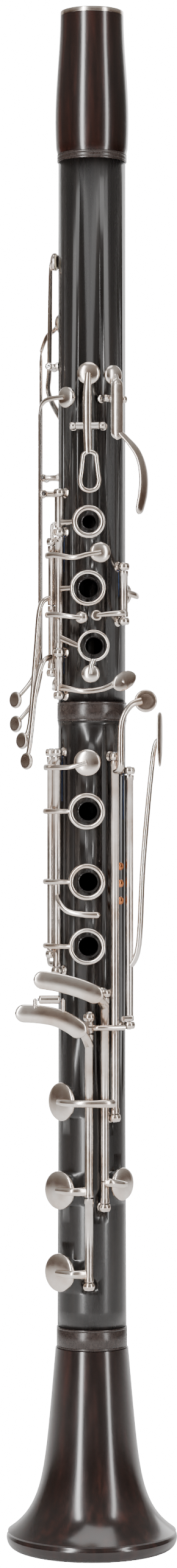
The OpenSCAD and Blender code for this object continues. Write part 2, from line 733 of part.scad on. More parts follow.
module first_ring_key() {
    color(silver) swing(rod_a, -ring_swing) rod_key(rod_a, span_ring_1) {
        finger_ring(ring_1);
        arm([centre(rod_a, ring_1[0]), ring_rim(ring_1)], 1.0);
        arm([centre(rod_a, span_ring_1[0] + 2), polar(-52, lug_r, span_ring_1[0] + 1),
             polar(-52, lug_r, span_upper[1] - 1.8)], 0.8);
    }
}

module upper_ring_key() {
    color(silver) swing(rod_a, -ring_swing) rod_key(rod_a, span_upper) {
        finger_ring(ring_2);
        finger_ring(ring_3);
        cup(vent_pad_at);
        arm([centre(rod_a, ring_2[0]), ring_rim(ring_2)], 1.0);
        arm([centre(rod_a, ring_3[0] + 4), ring_rim(ring_3)], 1.0);
        arm([centre(rod_a, span_upper[1] - 1.8), polar(-45.8, lug_r, span_upper[1] - 1.8)], 0.8);
        arm([[ring_3[1] + ring_3[4], -finger_r0 - ring_h, ring_3[0] - (ring_3[2] + ring_3[3]) / 2],
             crown(vent_pad_at, 1.0)], 1.0);
    }
}

module upper_ring_pad() {
    swing(rod_a, -ring_swing) pad(vent_pad_at);
}

module cross_key() {
    color(silver) rod_key(rod_x, span_cross) {
        cup(cross_pad_at);
        arm([centre(rod_x, upper_z + 39), polar(38, 21, upper_z + 38.6), polar(20, 20, upper_z + 38),
             polar(6, 18.9, upper_z + 37.4)]);
        arm([centre(rod_x, cross_pad_at[1]), polar(66, 20.4, cross_pad_at[1] - 1), polar(88, 20, cross_pad_at[1] - 1.5),
             polar(105, 19.4, cross_pad_at[1] - 1), crown(cross_pad_at)]);
        facing(6, 18.1, upper_z + 37.4) cylinder(r = 2.4, h = 1.5);
    }
}

module cross_pad() {
    pad(cross_pad_at);
}

module c_sharp_key() {
    z = span_c_sharp[0] + 1.4;
    color(silver) rod_key(rod_a, span_c_sharp) {
        cup(c_sharp_pad_at);
        arm([centre(rod_a, z), polar(-38, 19.2, z - 0.1), polar(-12, 19, z - 1.6), polar(12, 19.2, z - 0.8),
             polar(28, 20.6, z + 1.7)], 1.3);
        arm([centre(rod_a, z), polar(-66, 16.9, z), polar(-90, 16.7, z), polar(-104, 17, z + 1), polar(-113, 18.1, z + 3),
             crown(c_sharp_pad_at, 0.9)], 0.9);
        facing(40, 21, z + 3) linear_extrude(1.8) rotate(20) {
            translate([-3, 0]) circle(r = 4.2);
            translate([-3, -4.2]) square([6, 8.4]);
            translate([3, 0]) circle(r = 4.2);
        }
    }
}

module c_sharp_pad() {
    pad(c_sharp_pad_at);
}

// ---- keys of the lower joint

module ring_arm(ring) {
    arm([centre(rod_h, ring[0]), polar(-68, over_r, ring[0]), polar(-50, over_r, ring[0]),
         polar(-34, 19.6, ring[0]), ring_rim(ring)], 1.0);
}

module lower_ring_key() {
    z = ring_key_pad_at[1] - 2;
    color(silver) swing(rod_h, -ring_swing) rod_key(rod_h, span_lower) {
        for (ring = [ring_4, ring_5, ring_6]) {
            finger_ring(ring);
            ring_arm(ring);
        }
        cup(ring_key_pad_at);
        arm([centre(rod_h, z), polar(-68, over_r, z), polar(-48, over_r, z), polar(-25, 20.2, z),
             crown(ring_key_pad_at)]);
    }
}

module lower_ring_pad() {
    swing(rod_h, -ring_swing) pad(ring_key_pad_at);
}

module fork_key() {
    z = span_fork[0] + 1.2;
    color(silver) rod_key(rod_g, span_fork) {
        cup(fork_pad_at);
        arm([centre(rod_g, lower_z + 190), polar(-45, 20.2, lower_z + 187), polar(-32, 19.9, lower_z + 183),
             polar(-10, 18.9, lower_z + 181.6), polar(11, 18.6, lower_z + 181.4)], 1.2);
        arm([centre(rod_g, z), polar(-80, 19, z), polar(-104, 19.4, lower_z + 164), crown(fork_pad_at)]);
    }
}

module fork_pad() {
    pad(fork_pad_at);
}

// A little-finger plate through three points, with round ends, at the plates' mid plane.
module plate(points) {
    translate([0, -plate_y + plate_t / 2, 0]) rotate([90, 0, 0]) linear_extrude(plate_t) {
        for (i = [0 : len(points) - 1]) translate(points[i]) circle(r = plate_end_r + 0.06);
        for (i = [0 : len(points) - 2]) {
            v = points[i + 1] - points[i];
            translate(points[i]) rotate(atan2(v[1], v[0])) translate([0, -plate_end_r]) square([norm(v), 2 * plate_end_r]);
        }
    }
}

module a_flat_key() {
    color(silver) rod_key(rod_2, span_a_flat) {
        cup(a_flat_pad_at);
        plate(a_flat_plate);
        arm([centre(rod_2, span_a_flat[1] - 4), [a_flat_plate[2][0] + 0.5, -plate_y - 0.1, a_flat_plate[2][1] + 0.5]], 1.5);
        arm([centre(rod_2, a_flat_pad_at[1] + 2), polar(22, 21.2, a_flat_pad_at[1] + 1.5),
             polar(38, 20.9, a_flat_pad_at[1] + 0.5), crown(a_flat_pad_at, 1.3)], 1.3);
    }
}

module a_flat_pad() {
    pad(a_flat_pad_at);
}

module f_key() {
    color(silver) swing(rod_1, open_swing) rod_key(rod_1, span_f) {
        cup(f_pad_at);
        swing(rod_1, -open_swing) {
            plate(f_plate);
            arm([centre(rod_1, span_f[1] - 5), [f_plate[2][0] + 1, -plate_y, f_plate[2][1] - 0.5]], 1.6);
            translate([roller_at[0] + roller_len / 2 + 1.6, -plate_y, roller_at[1] - 6]) cylinder(r = 1, h = 6);
            translate([roller_at[0] - roller_len / 2 - 1.6, -plate_y, roller_at[1] - 6]) cylinder(r = 1, h = 6);
        }
        arm([centre(rod_1, f_pad_at[1]), polar(-20, 21, f_pad_at[1]), polar(-32, 20.9, f_pad_at[1]),
             crown(f_pad_at, 1.3)], 1.3);
    }
}

module f_pad() {
    swing(rod_1, open_swing) pad(f_pad_at);
}

module roller_pin() {
    color(steel) translate([roller_at[0] - roller_len / 2 - 0.55, -plate_y, roller_at[1]]) rotate([0, 90, 0])
        cylinder(r = 0.7, h = roller_len + 1.1);
}

module plate_roller() {
    color(silver) translate([roller_at[0] - roller_len / 2, -plate_y, roller_at[1]]) rotate([0, 90, 0]) difference() {
        cylinder(r = roller_r, h = roller_len);
        translate([0, 0, -1]) cylinder(r = 0.7 + run_gap, h = roller_len + 2);
    }
}

module e_key() {
    z = span_e_arm[0] + 2.5;
    color(silver) swing(rod_1, open_swing) difference() {
        union() {
            along(rod_1, span_e[0], span_e[1], tube_r);
            along(rod_1, span_e_arm[0], span_e_arm[1], tube_r);
            cup(e_pad_at);
            arm([centre(rod_1, e_pad_at[1]), polar(-20, 21, e_pad_at[1]), polar(-32, 20.9, e_pad_at[1]),
             crown(e_pad_at, 1.3)], 1.3);
            arm([centre(rod_1, z), polar(6, over_r + 1.6, z), polar(34, over_r + 3.2, z)], 1.3);
        }
        along(rod_1, span_e[0] - 1, span_e_arm[1] + 1, axle_r + slack);
    }
}

module e_pad() {
    swing(rod_1, open_swing) pad(e_pad_at);
}

module e_key_axle() {
    color(steel) axle(rod_1, below(span_e), above(span_e_arm));
}

module f_sharp_key() {
    z = f_sharp_pad_at[1];
    top = span_f_sharp[1];
    color(silver) rod_key(rod_c, span_f_sharp) {
        cup(f_sharp_pad_at);
        arm([centre(rod_c, z), polar(24, over_r + 0.4, z), polar(4, over_r + 1, z), polar(-16, over_r + 0.8, z),
             polar(-34, 21.6, z), crown(f_sharp_pad_at, 1.3)], 1.3);
        arm([centre(rod_c, top - 5), polar(33, 22.8, top - 3), polar(33, 22.8, top + 6), [13, -19.4, top + 17],
             [16.8, -17.6, top + 24], [21.4, -16, top + 26]], 1.3);
        translate([23.4, -14.8, top + 26.2]) rotate([90, 0, 0]) cylinder(r = 5, h = 1.8);
    }
}

module f_sharp_pad() {
    pad(f_sharp_pad_at);
}

module e_lever() {
    z = span_e_lever[0] + 1.5;
    top = lower_z + 250;
    color(silver) rod_key(rod_d, span_e_lever) {
        arm([centre(rod_d, z), polar(50, 21.6, z), polar(38, over_r + 0.2, z)], 1.2);
        arm([centre(rod_d, lower_z + 158), [20.4, -10.2, lower_z + 168], [22.4, -10.6, lower_z + 205],
             [26.6, -10.2, top], [29, -9.6, top + 8]], 1.2);
        facing(70, 30.6, top + 4) linear_extrude(1.8) {
            translate([0, -5]) circle(r = 3.2);
            translate([-3.2, -5]) square([6.4, 18]);
            translate([0, 13]) circle(r = 3.2);
        }
    }
}

barrel();
barrel_top_ring();
barrel_base_ring();
upper_joint();
middle_ring();
lower_joint();
bell_ring();
bell();
tenon_corks();
thumb_tube();
register_vent();
thumb_rest();
thumb_rest_screws();
upper_posts();
lower_posts();
yoke_posts();
guide_posts();
upper_axles();
lower_axles();
pivot_pins();
needle_springs();
register_key();
register_pad();
throat_a_key();
throat_a_pad();
g_sharp_key();
g_sharp_pad();
trill_key_1();
trill_pad_1();
trill_key_2();
trill_pad_2();
side_b_flat_key();
side_b_flat_pad();
side_f_sharp_key();
side_f_sharp_pad();
first_ring_key();
upper_ring_key();
upper_ring_pad();
cross_key();
cross_pad();
c_sharp_key();
c_sharp_pad();
lower_ring_key();
lower_ring_pad();
fork_key();
fork_pad();
a_flat_key();
a_flat_pad();
f_key();
f_pad();
e_key();
e_pad();
e_key_axle();
f_sharp_key();
f_sharp_pad();
e_lever();
plate_roller();
roller_pin();
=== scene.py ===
from math import acos, cos, exp, pi, radians, sin, sqrt

import bmesh
import bpy
from mathutils import Matrix, Vector


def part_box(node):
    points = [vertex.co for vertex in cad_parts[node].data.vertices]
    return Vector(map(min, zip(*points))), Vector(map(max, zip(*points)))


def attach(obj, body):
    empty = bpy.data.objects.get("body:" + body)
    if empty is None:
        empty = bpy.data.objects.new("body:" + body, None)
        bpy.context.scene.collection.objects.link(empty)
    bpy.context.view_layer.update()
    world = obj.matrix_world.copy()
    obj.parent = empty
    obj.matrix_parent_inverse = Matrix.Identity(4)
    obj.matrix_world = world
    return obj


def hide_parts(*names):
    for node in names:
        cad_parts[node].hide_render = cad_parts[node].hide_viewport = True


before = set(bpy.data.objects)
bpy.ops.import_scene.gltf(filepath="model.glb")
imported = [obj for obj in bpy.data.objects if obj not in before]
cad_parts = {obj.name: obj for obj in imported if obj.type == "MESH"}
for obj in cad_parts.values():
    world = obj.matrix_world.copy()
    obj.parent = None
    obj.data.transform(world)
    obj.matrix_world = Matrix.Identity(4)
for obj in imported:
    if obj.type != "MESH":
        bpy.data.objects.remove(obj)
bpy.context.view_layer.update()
print("frame loaded:", len(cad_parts), "nodes")

mm = 0.001
turn = 2 * pi

# heights where the sections meet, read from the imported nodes
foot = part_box("bell_ring")[1][2] / mm
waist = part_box("middle_ring")[1][2] / mm
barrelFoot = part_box("barrel_base_ring")[0][2] / mm
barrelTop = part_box("barrel")[1][2] / mm


# Materials

def linear(hexColour):
    channels = [int(hexColour[i:i + 2], 16) / 255 for i in (1, 3, 5)]
    curve = [c / 12.92 if c <= 0.04045 else ((c + 0.055) / 1.055) ** 2.4 for c in channels]
    return (*curve, 1.0)


def addNode(tree, kind, links=None, **settings):
    node = tree.nodes.new(kind)
    for key, value in settings.items():
        if hasattr(node, key):
            setattr(node, key, value)
        else:
            node.inputs[key.replace("_", " ")].default_value = value
    for socket, source in (links or {}).items():
        tree.links.new(source, node.inputs[socket])
    return node


def startMaterial(name):
    material = bpy.data.materials.new(name)
    material.use_nodes = True
    tree = material.node_tree
    tree.nodes.clear()
    shader = addNode(tree, "ShaderNodeBsdfPrincipled")
    addNode(tree, "ShaderNodeOutputMaterial", {"Surface": shader.outputs[0]})
    place = addNode(tree, "ShaderNodeTexCoord").outputs["Object"]
    return material, tree, shader, place


def ramp(tree, source, stops):
    node = addNode(tree, "ShaderNodeValToRGB", {"Fac": source})
    node.color_ramp.elements[0].position, node.color_ramp.elements[0].color = stops[0][0], linear(stops[0][1])
    node.color_ramp.elements[1].position, node.color_ramp.elements[1].color = stops[-1][0], linear(stops[-1][1])
    for position, colour in stops[1:-1]:
        node.color_ramp.elements.new(position).color = linear(colour)
    return node.outputs["Color"]


def spread(tree, source, low, high):
    return addNode(tree, "ShaderNodeMapRange", {"Value": source}, To_Min=low, To_Max=high).outputs["Result"]


def bumped(tree, shader, source, height, strength=0.5):
    node = addNode(tree, "ShaderNodeBump", {"Height": source}, Distance=height, Strength=strength)
    tree.links.new(node.outputs["Normal"], shader.inputs["Normal"])


# Wood turned along the bore: fine dark pores and slow streaks that run with the grain.
def woodMaterial(name, colours, rough, coat, poreDepth):
    material, tree, shader, place = startMaterial(name)
    stretch = addNode(tree, "ShaderNodeMapping", {"Vector": place}, Scale=(1, 1, 0.07))
    streak = addNode(tree, "ShaderNodeTexNoise", {"Vector": stretch.outputs[0]}, Scale=260, Detail=6,
                     Roughness=0.62)
    pores = addNode(tree, "ShaderNodeTexNoise", {"Vector": stretch.outputs[0]}, Scale=1900, Detail=2)
    cloud = addNode(tree, "ShaderNodeTexNoise", {"Vector": place}, Scale=24, Detail=3)
    grain = ramp(tree, streak.outputs["Fac"], [(0.3, colours[0]), (0.52, colours[1]), (0.75, colours[2])])
    tone = ramp(tree, cloud.outputs["Fac"], [(0.3, "#b8b8b8"), (0.7, "#ffffff")])
    mix = addNode(tree, "ShaderNodeMix", data_type="RGBA", blend_type="MULTIPLY")
    mix.inputs[0].default_value = 0.8
    tree.links.new(grain, mix.inputs[6])
    tree.links.new(tone, mix.inputs[7])
    tree.links.new(mix.outputs[2], shader.inputs["Base Color"])
    tree.links.new(spread(tree, streak.outputs["Fac"], rough - 0.07, rough + 0.1),
                   shader.inputs["Roughness"])
    shader.inputs["IOR"].default_value = 1.5
    shader.inputs["Coat Weight"].default_value = coat
    shader.inputs["Coat Roughness"].default_value = 0.14
    bumped(tree, shader, pores.outputs["Fac"], poreDepth * mm)
    return material


# Metal: one colour with slow drift, smudges that change the gloss, and faint hairlines.
def metalMaterial(name, light, dark, rough, smudge=0.1, hairline=0.0):
    material, tree, shader, place = startMaterial(name)
    cloud = addNode(tree, "ShaderNodeTexNoise", {"Vector": place}, Scale=70, Detail=4, Roughness=0.6)
    wipe = addNode(tree, "ShaderNodeTexNoise", {"Vector": place}, Scale=330, Detail=5)
    colour = ramp(tree, cloud.outputs["Fac"], [(0.32, dark), (0.6, light)])
    tree.links.new(colour, shader.inputs["Base Color"])
    tree.links.new(spread(tree, wipe.outputs["Fac"], rough, rough + smudge), shader.inputs["Roughness"])
    shader.inputs["Metallic"].default_value = 1.0
    if hairline:
        stretch = addNode(tree, "ShaderNodeMapping", {"Vector": place}, Scale=(1, 1, 0.02))
        lines = addNode(tree, "ShaderNodeTexNoise", {"Vector": stretch.outputs[0]}, Scale=2600, Detail=2)
        bumped(tree, shader, lines.outputs["Fac"], hairline * mm, 0.3)
    else:
        bumped(tree, shader, wipe.outputs["Fac"], 0.006 * mm, 0.25)
    return material


# Small soft or granular finishes: a speckle at a real size, with the same speckle raised.
def grainMaterial(name, stops, speckMm, rough, depthMm, sheen=0.0):
    material, tree, shader, place = startMaterial(name)
    speck = addNode(tree, "ShaderNodeTexNoise", {"Vector": place}, Scale=1 / (speckMm * mm), Detail=5,
                    Roughness=0.65)
    tree.links.new(ramp(tree, speck.outputs["Fac"], stops), shader.inputs["Base Color"])
    tree.links.new(spread(tree, speck.outputs["Fac"], rough - 0.06, rough + 0.06),
                   shader.inputs["Roughness"])
    shader.inputs["Sheen Weight"].default_value = sheen
    bumped(tree, shader, speck.outputs["Fac"], depthMm * mm)
    return material


finish = {
    # oiled grenadilla, lathe-turned and rubbed with oil: near black, satin, a soft broad highlight
    "joint": woodMaterial("oiledGrenadilla", ("#0b0908", "#151110", "#221b18"), 0.27, 0.3, 0.02),
    # polished rosewood: darker red-brown with more shine than the joints
    "turned": woodMaterial("polishedRosewood", ("#0f0706", "#1f0f0c", "#3a1b15"), 0.2, 0.5, 0.012),
    # cast resin band, turned and polished: grey-brown, a shade lighter than the wood
    "band": grainMaterial("turnedResinBand", [(0.3, "#241d1b"), (0.6, "#332a27"), (0.8, "#463b36")], 1.2,
                          0.28, 0.01),
    # silver plate over nickel silver, buffed: warm white mirror with faint tarnish in the recesses
    "silver": metalMaterial("silverPlate", "#efe6de", "#cdb9aa", 0.13, 0.13),
    # the same plate on hinge tubes, drawn and lapped lengthwise, a little duller
    "tube": metalMaterial("silverPlatedTube", "#ded6d0", "#b5a396", 0.18, 0.12, hairline=0.01),
    # ground steel rod: neutral grey with hairlines along it
    "steel": metalMaterial("groundSteel", "#a9a9ab", "#87868a", 0.24, 0.1, hairline=0.015),
    # spring wire, tempered blue
    "spring": metalMaterial("bluedSpringSteel", "#3f4f74", "#27304a", 0.25, 0.08),
    # copper-coloured posts, buffed
    "copper": metalMaterial("buffedCopper", "#c98255", "#8d4e2e", 0.16, 0.12),
    # waxed tenon cork: tan with dark pits about a millimetre across
    "cork": grainMaterial("waxedCork", [(0.3, "#5e3d24"), (0.5, "#b08150"), (0.75, "#c99c68")], 1.0, 0.6,
                          0.12),
    # fish-skin over felt: thin, pale, faintly wrinkled, with a slight sheen
    "pad": grainMaterial("padSkin", [(0.3, "#cdb793"), (0.7, "#e9dcc0")], 0.8, 0.45, 0.05, 0.2),
}
print("materials made:", len(finish))


# Mesh helpers, all in millimetres until a piece is finished

def polar(angle, reach, height):
    a = radians(angle)
    return Vector((reach * sin(a), -reach * cos(a), height))


def outward(angle):
    return polar(angle, 1, 0)


def turnAbout(rod, degrees):
    centre = polar(rod[0], rod[1], 0)
    return Matrix.Translation(centre) @ Matrix.Rotation(radians(degrees), 4,
                                                        "Z") @ Matrix.Translation(-centre)


def axesTo(place, direction, sideways=None):
    up = direction.normalized()
    guide = sideways or (Vector((0, 0, 1)) if abs(up.z) < 0.9 else Vector((1, 0, 0)))
    side = guide.cross(up).normalized()
    matrix = Matrix((side, up.cross(side), up)).transposed().to_4x4()
    matrix.translation = place
    return matrix


# Spins an outline of (radius, height) pairs round local +Z; a closed outline makes a ring.
def spinOutline(bm, outline, matrix, closed=False, steps=40):
    verts = [bm.verts.new((max(r, 0.0), 0, h)) for r, h in outline]
    edges = [bm.edges.new(pair) for pair in zip(verts, verts[1:])]
    if closed:
        edges.append(bm.edges.new((verts[-1], verts[0])))
    known = set(bm.verts) - set(verts)
    bmesh.ops.spin(bm, geom=verts + edges, cent=(0, 0, 0), axis=(0, 0, 1), angle=turn, steps=steps,
                   use_merge=True)
    new = [v for v in bm.verts if v not in known]
    bmesh.ops.remove_doubles(bm, verts=new, dist=0.0005)
    new = [v for v in bm.verts if v not in known]
    bmesh.ops.transform(bm, matrix=matrix, verts=new)
    return new


def smoothPath(points, steps, closed=False):
    path, count = [], len(points)
    spans = count if closed else count - 1
    for i in range(spans):
        pick = (lambda k: points[k % count]) if closed else (lambda k: points[max(0, min(k, count - 1))])
        a, b, c, d = pick(i - 1), pick(i), pick(i + 1), pick(i + 2)
        for k in range(steps):
            t = k / steps
            path.append(0.5 * ((2 * b) + (c - a) * t + (2 * a - 5 * b + 4 * c - d) * t ** 2
                               + (3 * b - a - 3 * c + d) * t ** 3))
    if not closed:
        path.append(points[-1].copy())
    return path


# Draws an oval section along a smooth path. width is the half width at each end, flat its thickness share.
def sweep(bm, points, width, flat=1.0, steps=6, closed=False, roundEnds=False, sides=12, facing=None):
    path = smoothPath([Vector(p) for p in points], steps, closed)
    count = len(path)
    ends = width if isinstance(width, (tuple, list)) else (width, width)
    travel = [0.0]
    for a, b in zip(path, path[1:]):
        travel.append(travel[-1] + (b - a).length)
    rings, up = [], None
    for i, p in enumerate(path):
        before = path[i - 1] if closed or i else path[0]
        after = path[(i + 1) % count] if closed or i < count - 1 else path[-1]
        tangent = (after - before).normalized()
        guide = facing or Vector((p.x, p.y, 0)).normalized()
        if abs(guide.dot(tangent)) > 0.9:
            guide = up or Vector((0, 0, 1))
        up = (guide - tangent * guide.dot(tangent)).normalized()
        side = up.cross(tangent)
        t = i / (count - 1)
        w = ends[0] + (ends[-1] - ends[0]) * t if len(ends) == 2 else widthAt(ends, t)
        thick = w * flat if not isinstance(flat, tuple) else flat[0] + (flat[1] - flat[0]) * t
        if roundEnds:
            near = min(travel[i], travel[-1] - travel[i])
            shrink = sqrt(max(0.0, 1 - (1 - min(near / w, 1)) ** 2))
            w, thick = w * max(shrink, 0.12), thick * max(shrink ** 0.4, 0.35)
        matrix = Matrix((side * w, up * thick, tangent)).transposed().to_4x4()
        matrix.translation = p
        cap = not closed and i in (0, count - 1)
        made = bmesh.ops.create_circle(bm, cap_ends=cap, segments=sides, radius=1, matrix=matrix)
        rings.append(list({e for v in made["verts"] for e in v.link_edges}))
    pairs = list(zip(rings, rings[1:])) + ([(rings[-1], rings[0])] if closed else [])
    for one, two in pairs:
        bmesh.ops.bridge_loops(bm, edges=one + two)


def widthAt(values, t):
    place = t * (len(values) - 1)
    i = min(int(place), len(values) - 2)
    return values[i] + (values[i + 1] - values[i]) * (place - i)


def finishPiece(name, bm, material, body, nodes, sharp=42):
    bmesh.ops.remove_doubles(bm, verts=bm.verts, dist=0.002)
    bmesh.ops.recalc_face_normals(bm, faces=bm.faces)
    bmesh.ops.scale(bm, vec=(mm, mm, mm), verts=bm.verts)
    mesh = bpy.data.meshes.new(name)
    bm.to_mesh(mesh)
    bm.free()
    mesh.shade_smooth()
    mesh.set_sharp_from_angle(angle=radians(sharp))
    piece = bpy.data.objects.new(name, mesh)
    bpy.context.scene.collection.objects.link(piece)
    mesh.materials.append(finish[material])
    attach(piece, body)
    if nodes:
        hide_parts(*nodes)
    return piece


# A merged copy of a CAD node, so that its curves shade smoothly.
def smoothCopy(node, material, body, sharp=32):
    bm = bmesh.new()
    bm.from_mesh(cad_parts[node].data)
    bmesh.ops.remove_doubles(bm, verts=bm.verts, dist=1e-6)
    mesh = bpy.data.meshes.new(node + "_smooth")
    bm.to_mesh(mesh)
    bm.free()
    mesh.shade_smooth()
    mesh.set_sharp_from_angle(angle=radians(sharp))
    mesh.materials.clear()
    mesh.materials.append(finish[material])
    piece = bpy.data.objects.new(node + "_smooth", mesh)
    bpy.context.scene.collection.objects.link(piece)
    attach(piece, body)
    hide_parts(node)


# Parts that keys are made of

# Hinge tube round a rod, with chamfered ends and a collar at each end.
def hingeTube(bm, rod, low, high, radius=2.1, hole=1.0, collars=True):
    c = 0.18
    outline = [(hole, low), (radius - c, low), (radius, low + c)]
    if collars and high - low > 14:
        for z, way in ((low, 1), (high, -1)):
            ring = [(radius, z + way * 2.2), (radius - 0.22, z + way * 2.45)]
            outline += ring if way == 1 else ring[::-1]
    outline += [(radius, high - c), (radius - c, high), (hole, high)]
    spinOutline(bm, outline, Matrix.Translation(polar(rod[0], rod[1], 0)), closed=True, steps=28)


# Short tube across the body for a rocking key.
def rockTube(bm, yoke, radius=1.7, hole=0.84):
    angle, height, reach, half = yoke
    side = Matrix.Rotation(radians(angle), 3, "Z") @ Vector((1, 0, 0))
    wide = half - 1.2 - 0.25
    outline = [(hole, -wide), (radius - 0.15, -wide), (radius, -wide + 0.15), (radius, wide - 0.15),
               (radius - 0.15, wide), (hole, wide)]
    spinOutline(bm, outline, axesTo(polar(angle, reach, height), side), closed=True, steps=24)


# Domed pad cup with a rolled rim, opening inwards over its pad.
def padCup(bm, angle, height, radius, face):
    r = radius
    outline = [(0, 1.42), (r - 0.45, 1.42), (r - 0.45, 0.6), (r - 0.2, 0.5), (r, 0.72), (r, 1.5),
               (r * 0.97, 1.85),
               (r * 0.9, 2.15), (r * 0.78, 2.45), (r * 0.6, 2.72), (r * 0.38, 2.9), (r * 0.18, 2.98),
               (0, 3.0)]
    spinOutline(bm, outline, axesTo(polar(angle, face, height), outward(angle)), steps=44)


# Finger ring with a rounded section, drawn closed over its chimney.
def fingerRing(bm, ring):
    height, across, outer, inner, shift = ring
    wall, mid = (outer - inner) / 2, (outer + inner) / 2
    outline = [(mid + wall * cos(a), 0.8 + 0.8 * sin(a)) for a in [turn * i / 14 for i in range(14)]]
    place = Vector((across + shift, -16.25, height))
    spinOutline(bm, outline, axesTo(place, Vector((0, -1, 0))), closed=True, steps=48)


def ringRim(ring):
    height, across, outer, inner, shift = ring
    return Vector((across + shift - (outer + inner) / 2, -17.05, height))


# Flat round touch with softened edges.
def roundTouch(bm, place, normal, radius, thick, dish=0.0):
    t = thick / 2
    e = min(0.6, t * 0.8)
    outline = [(0, -t), (radius - e, -t), (radius - 0.2, -t + 0.25), (radius, 0), (radius - 0.2, t - 0.25),
               (radius - e, t), (radius * 0.6, t - dish * 0.6), (0, t - dish)]
    spinOutline(bm, outline, axesTo(place, normal), steps=36)


# Post: foot flange, waist and a ball head with two flats, pierced by its rod.
def post(bm, rod, height, woodRadius=14.6):
    angle, reach = rod
    head = [(0.98, -1.6), (1.9, -1.6)]
    head += [(2.7 * sin(acos(max(-1, min(1, h / 2.7)))), h) for h in (-1.55, -1.0, -0.5, 0, 0.5, 1.0, 1.55)]
    head += [(1.9, 1.6), (0.98, 1.6)]
    spinOutline(bm, head, Matrix.Translation(polar(angle, reach, height)), closed=True, steps=28)
    deep = reach - woodRadius
    shank = [(0, -0.6), (2.2, -0.6), (2.25, 0.25), (1.9, 0.55), (1.35, 0.9), (1.25, deep * 0.5),
             (1.5, deep - 1.6),
             (0, deep - 1.5)]
    spinOutline(bm, shank, axesTo(polar(angle, woodRadius, height), outward(angle)), steps=24)


# Two legs with pierced heads that carry a rocking key.
def yokeLegs(bm, yoke, woodRadius=14.3):
    angle, height, reach, half = yoke
    side = Matrix.Rotation(radians(angle), 3, "Z") @ Vector((1, 0, 0))
    for way in (-1, 1):
        base = polar(angle, woodRadius, height) + side * way * half
        deep = reach - woodRadius
        shank = [(0, -0.4), (1.75, -0.4), (1.8, 0.5), (1.5, 0.8), (1.2, 1.2), (1.05, deep * 0.6),
                 (1.15, deep - 1.5),
                 (0, deep - 1.2)]
        spinOutline(bm, shank, axesTo(base, outward(angle)), steps=20)
        head = [(0.82, -1.2), (1.3, -1.2), (1.6, -0.95), (1.7, -0.5), (1.7, 0.5), (1.6, 0.95), (1.3, 1.2),
                (0.82, 1.2)]
        spinOutline(bm, head, axesTo(polar(angle, reach, height) + side * way * half, side), closed=True,
                    steps=24)


# Pad: a skin drawn over felt, with a soft edge and the ring its seat has pressed into it.
def padDisc(bm, angle, height, radius, face):
    r = radius - 0.47
    outline = [(0, 0.05), (r - 1.0, 0.05), (r - 0.75, 0.16), (r - 0.5, 0.06), (r - 0.25, 0.04),
               (r - 0.05, 0.2),
               (r, 0.5), (r, 1.3), (r - 0.1, 1.4), (0, 1.4)]
    spinOutline(bm, outline, axesTo(polar(angle, face, height), outward(angle)), steps=40)


# Wood, rings and corks

sections = {
    "barrelTopR": 13.9, "barrelMaxR": 16.1, "barrelFootR": 15.25, "boreR": 7.4, "mouthSocketR": 11.3,
    "mouthSocketDeep": 16.5, "topTenonR": 10.98, "topRingHigh": 2.2, "baseRingHigh": 3.6, "ringWall": 1.4,
}


def makeBarrel():
    b = sections
    wall = b["ringWall"]
    low, high = barrelFoot + b["baseRingHigh"], barrelTop - b["topRingHigh"]
    long = barrelTop - barrelFoot
    outline = [(b["topTenonR"], barrelFoot), (b["barrelFootR"] - wall - 0.02, barrelFoot),
               (b["barrelFootR"] - wall - 0.02, low), (b["barrelFootR"] - 0.1, low)]
    for i in range(1, 28):
        z = low + (high - low) * i / 27
        t = (barrelTop - z) / long
        if t < 0.73:
            r = b["barrelTopR"] + (b["barrelMaxR"] - b["barrelTopR"]) * (0.5 - 0.5 * cos(pi * t / 0.73))
        else:
            r = b["barrelMaxR"] - (b["barrelMaxR"] - b["barrelFootR"]) * ((t - 0.73) / 0.27) ** 2
        outline.append((r, z))
    outline += [(b["barrelTopR"] - 0.15, high), (b["barrelTopR"] - wall - 0.02, high),
                (b["barrelTopR"] - wall - 0.02, barrelTop), (b["mouthSocketR"], barrelTop),
                (b["mouthSocketR"], barrelTop - b["mouthSocketDeep"]),
                (b["boreR"], barrelTop - b["mouthSocketDeep"]),
                (b["boreR"], barrelFoot + 19.5), (b["topTenonR"], barrelFoot + 19.5)]
    bm = bmesh.new()
    spinOutline(bm, outline, Matrix(), closed=True, steps=96)
    finishPiece("barrelWood", bm, "turned", "barrel_body", ["barrel"])


bellSizes = {"footR": 15.2, "rimR": 37.5, "cone": 0.085, "flare": 29.5, "fade": 10.3, "socketR": 11.98,
             "socketDeep": 19.5, "ringHigh": 9.3, "ringR": 15.45}


def bellOutside(z):
    b = bellSizes
    return b["footR"] + b["cone"] * (foot - z) + b["flare"] * exp(-z / b["fade"])


def makeBell():
    b = bellSizes
    under = foot - b["ringHigh"]
    seat = b["ringR"] - sections["ringWall"] - 0.02
    outline = [(b["socketR"], foot), (seat, foot), (seat, under)]
    for i in range(27):
        z = under + (7.6 - under) * (1 - (1 - i / 26) ** 1.5)
        outline.append((min(bellOutside(z), b["rimR"] - 0.35), z))
    outline += [(b["rimR"] - 0.75, 7.1), (b["rimR"] - 0.7, 6.5), (b["rimR"] - 0.15, 5.9)]
    outline += [(b["rimR"] - 4.2 + 4.2 * cos(a),
                 5 - 5 * sin(a)) for a in [pi / 2 * i / 8 for i in range(9)]]
    for i in range(25):
        z = (foot - b["socketDeep"]) * (i / 24) ** 1.6
        outline.append((bellOutside(z + 7) - 6, z))
    outline.append((b["socketR"], foot - b["socketDeep"]))
    bm = bmesh.new()
    spinOutline(bm, outline, Matrix(), closed=True, steps=128)
    finishPiece("bellWood", bm, "turned", "body", ["bell"])


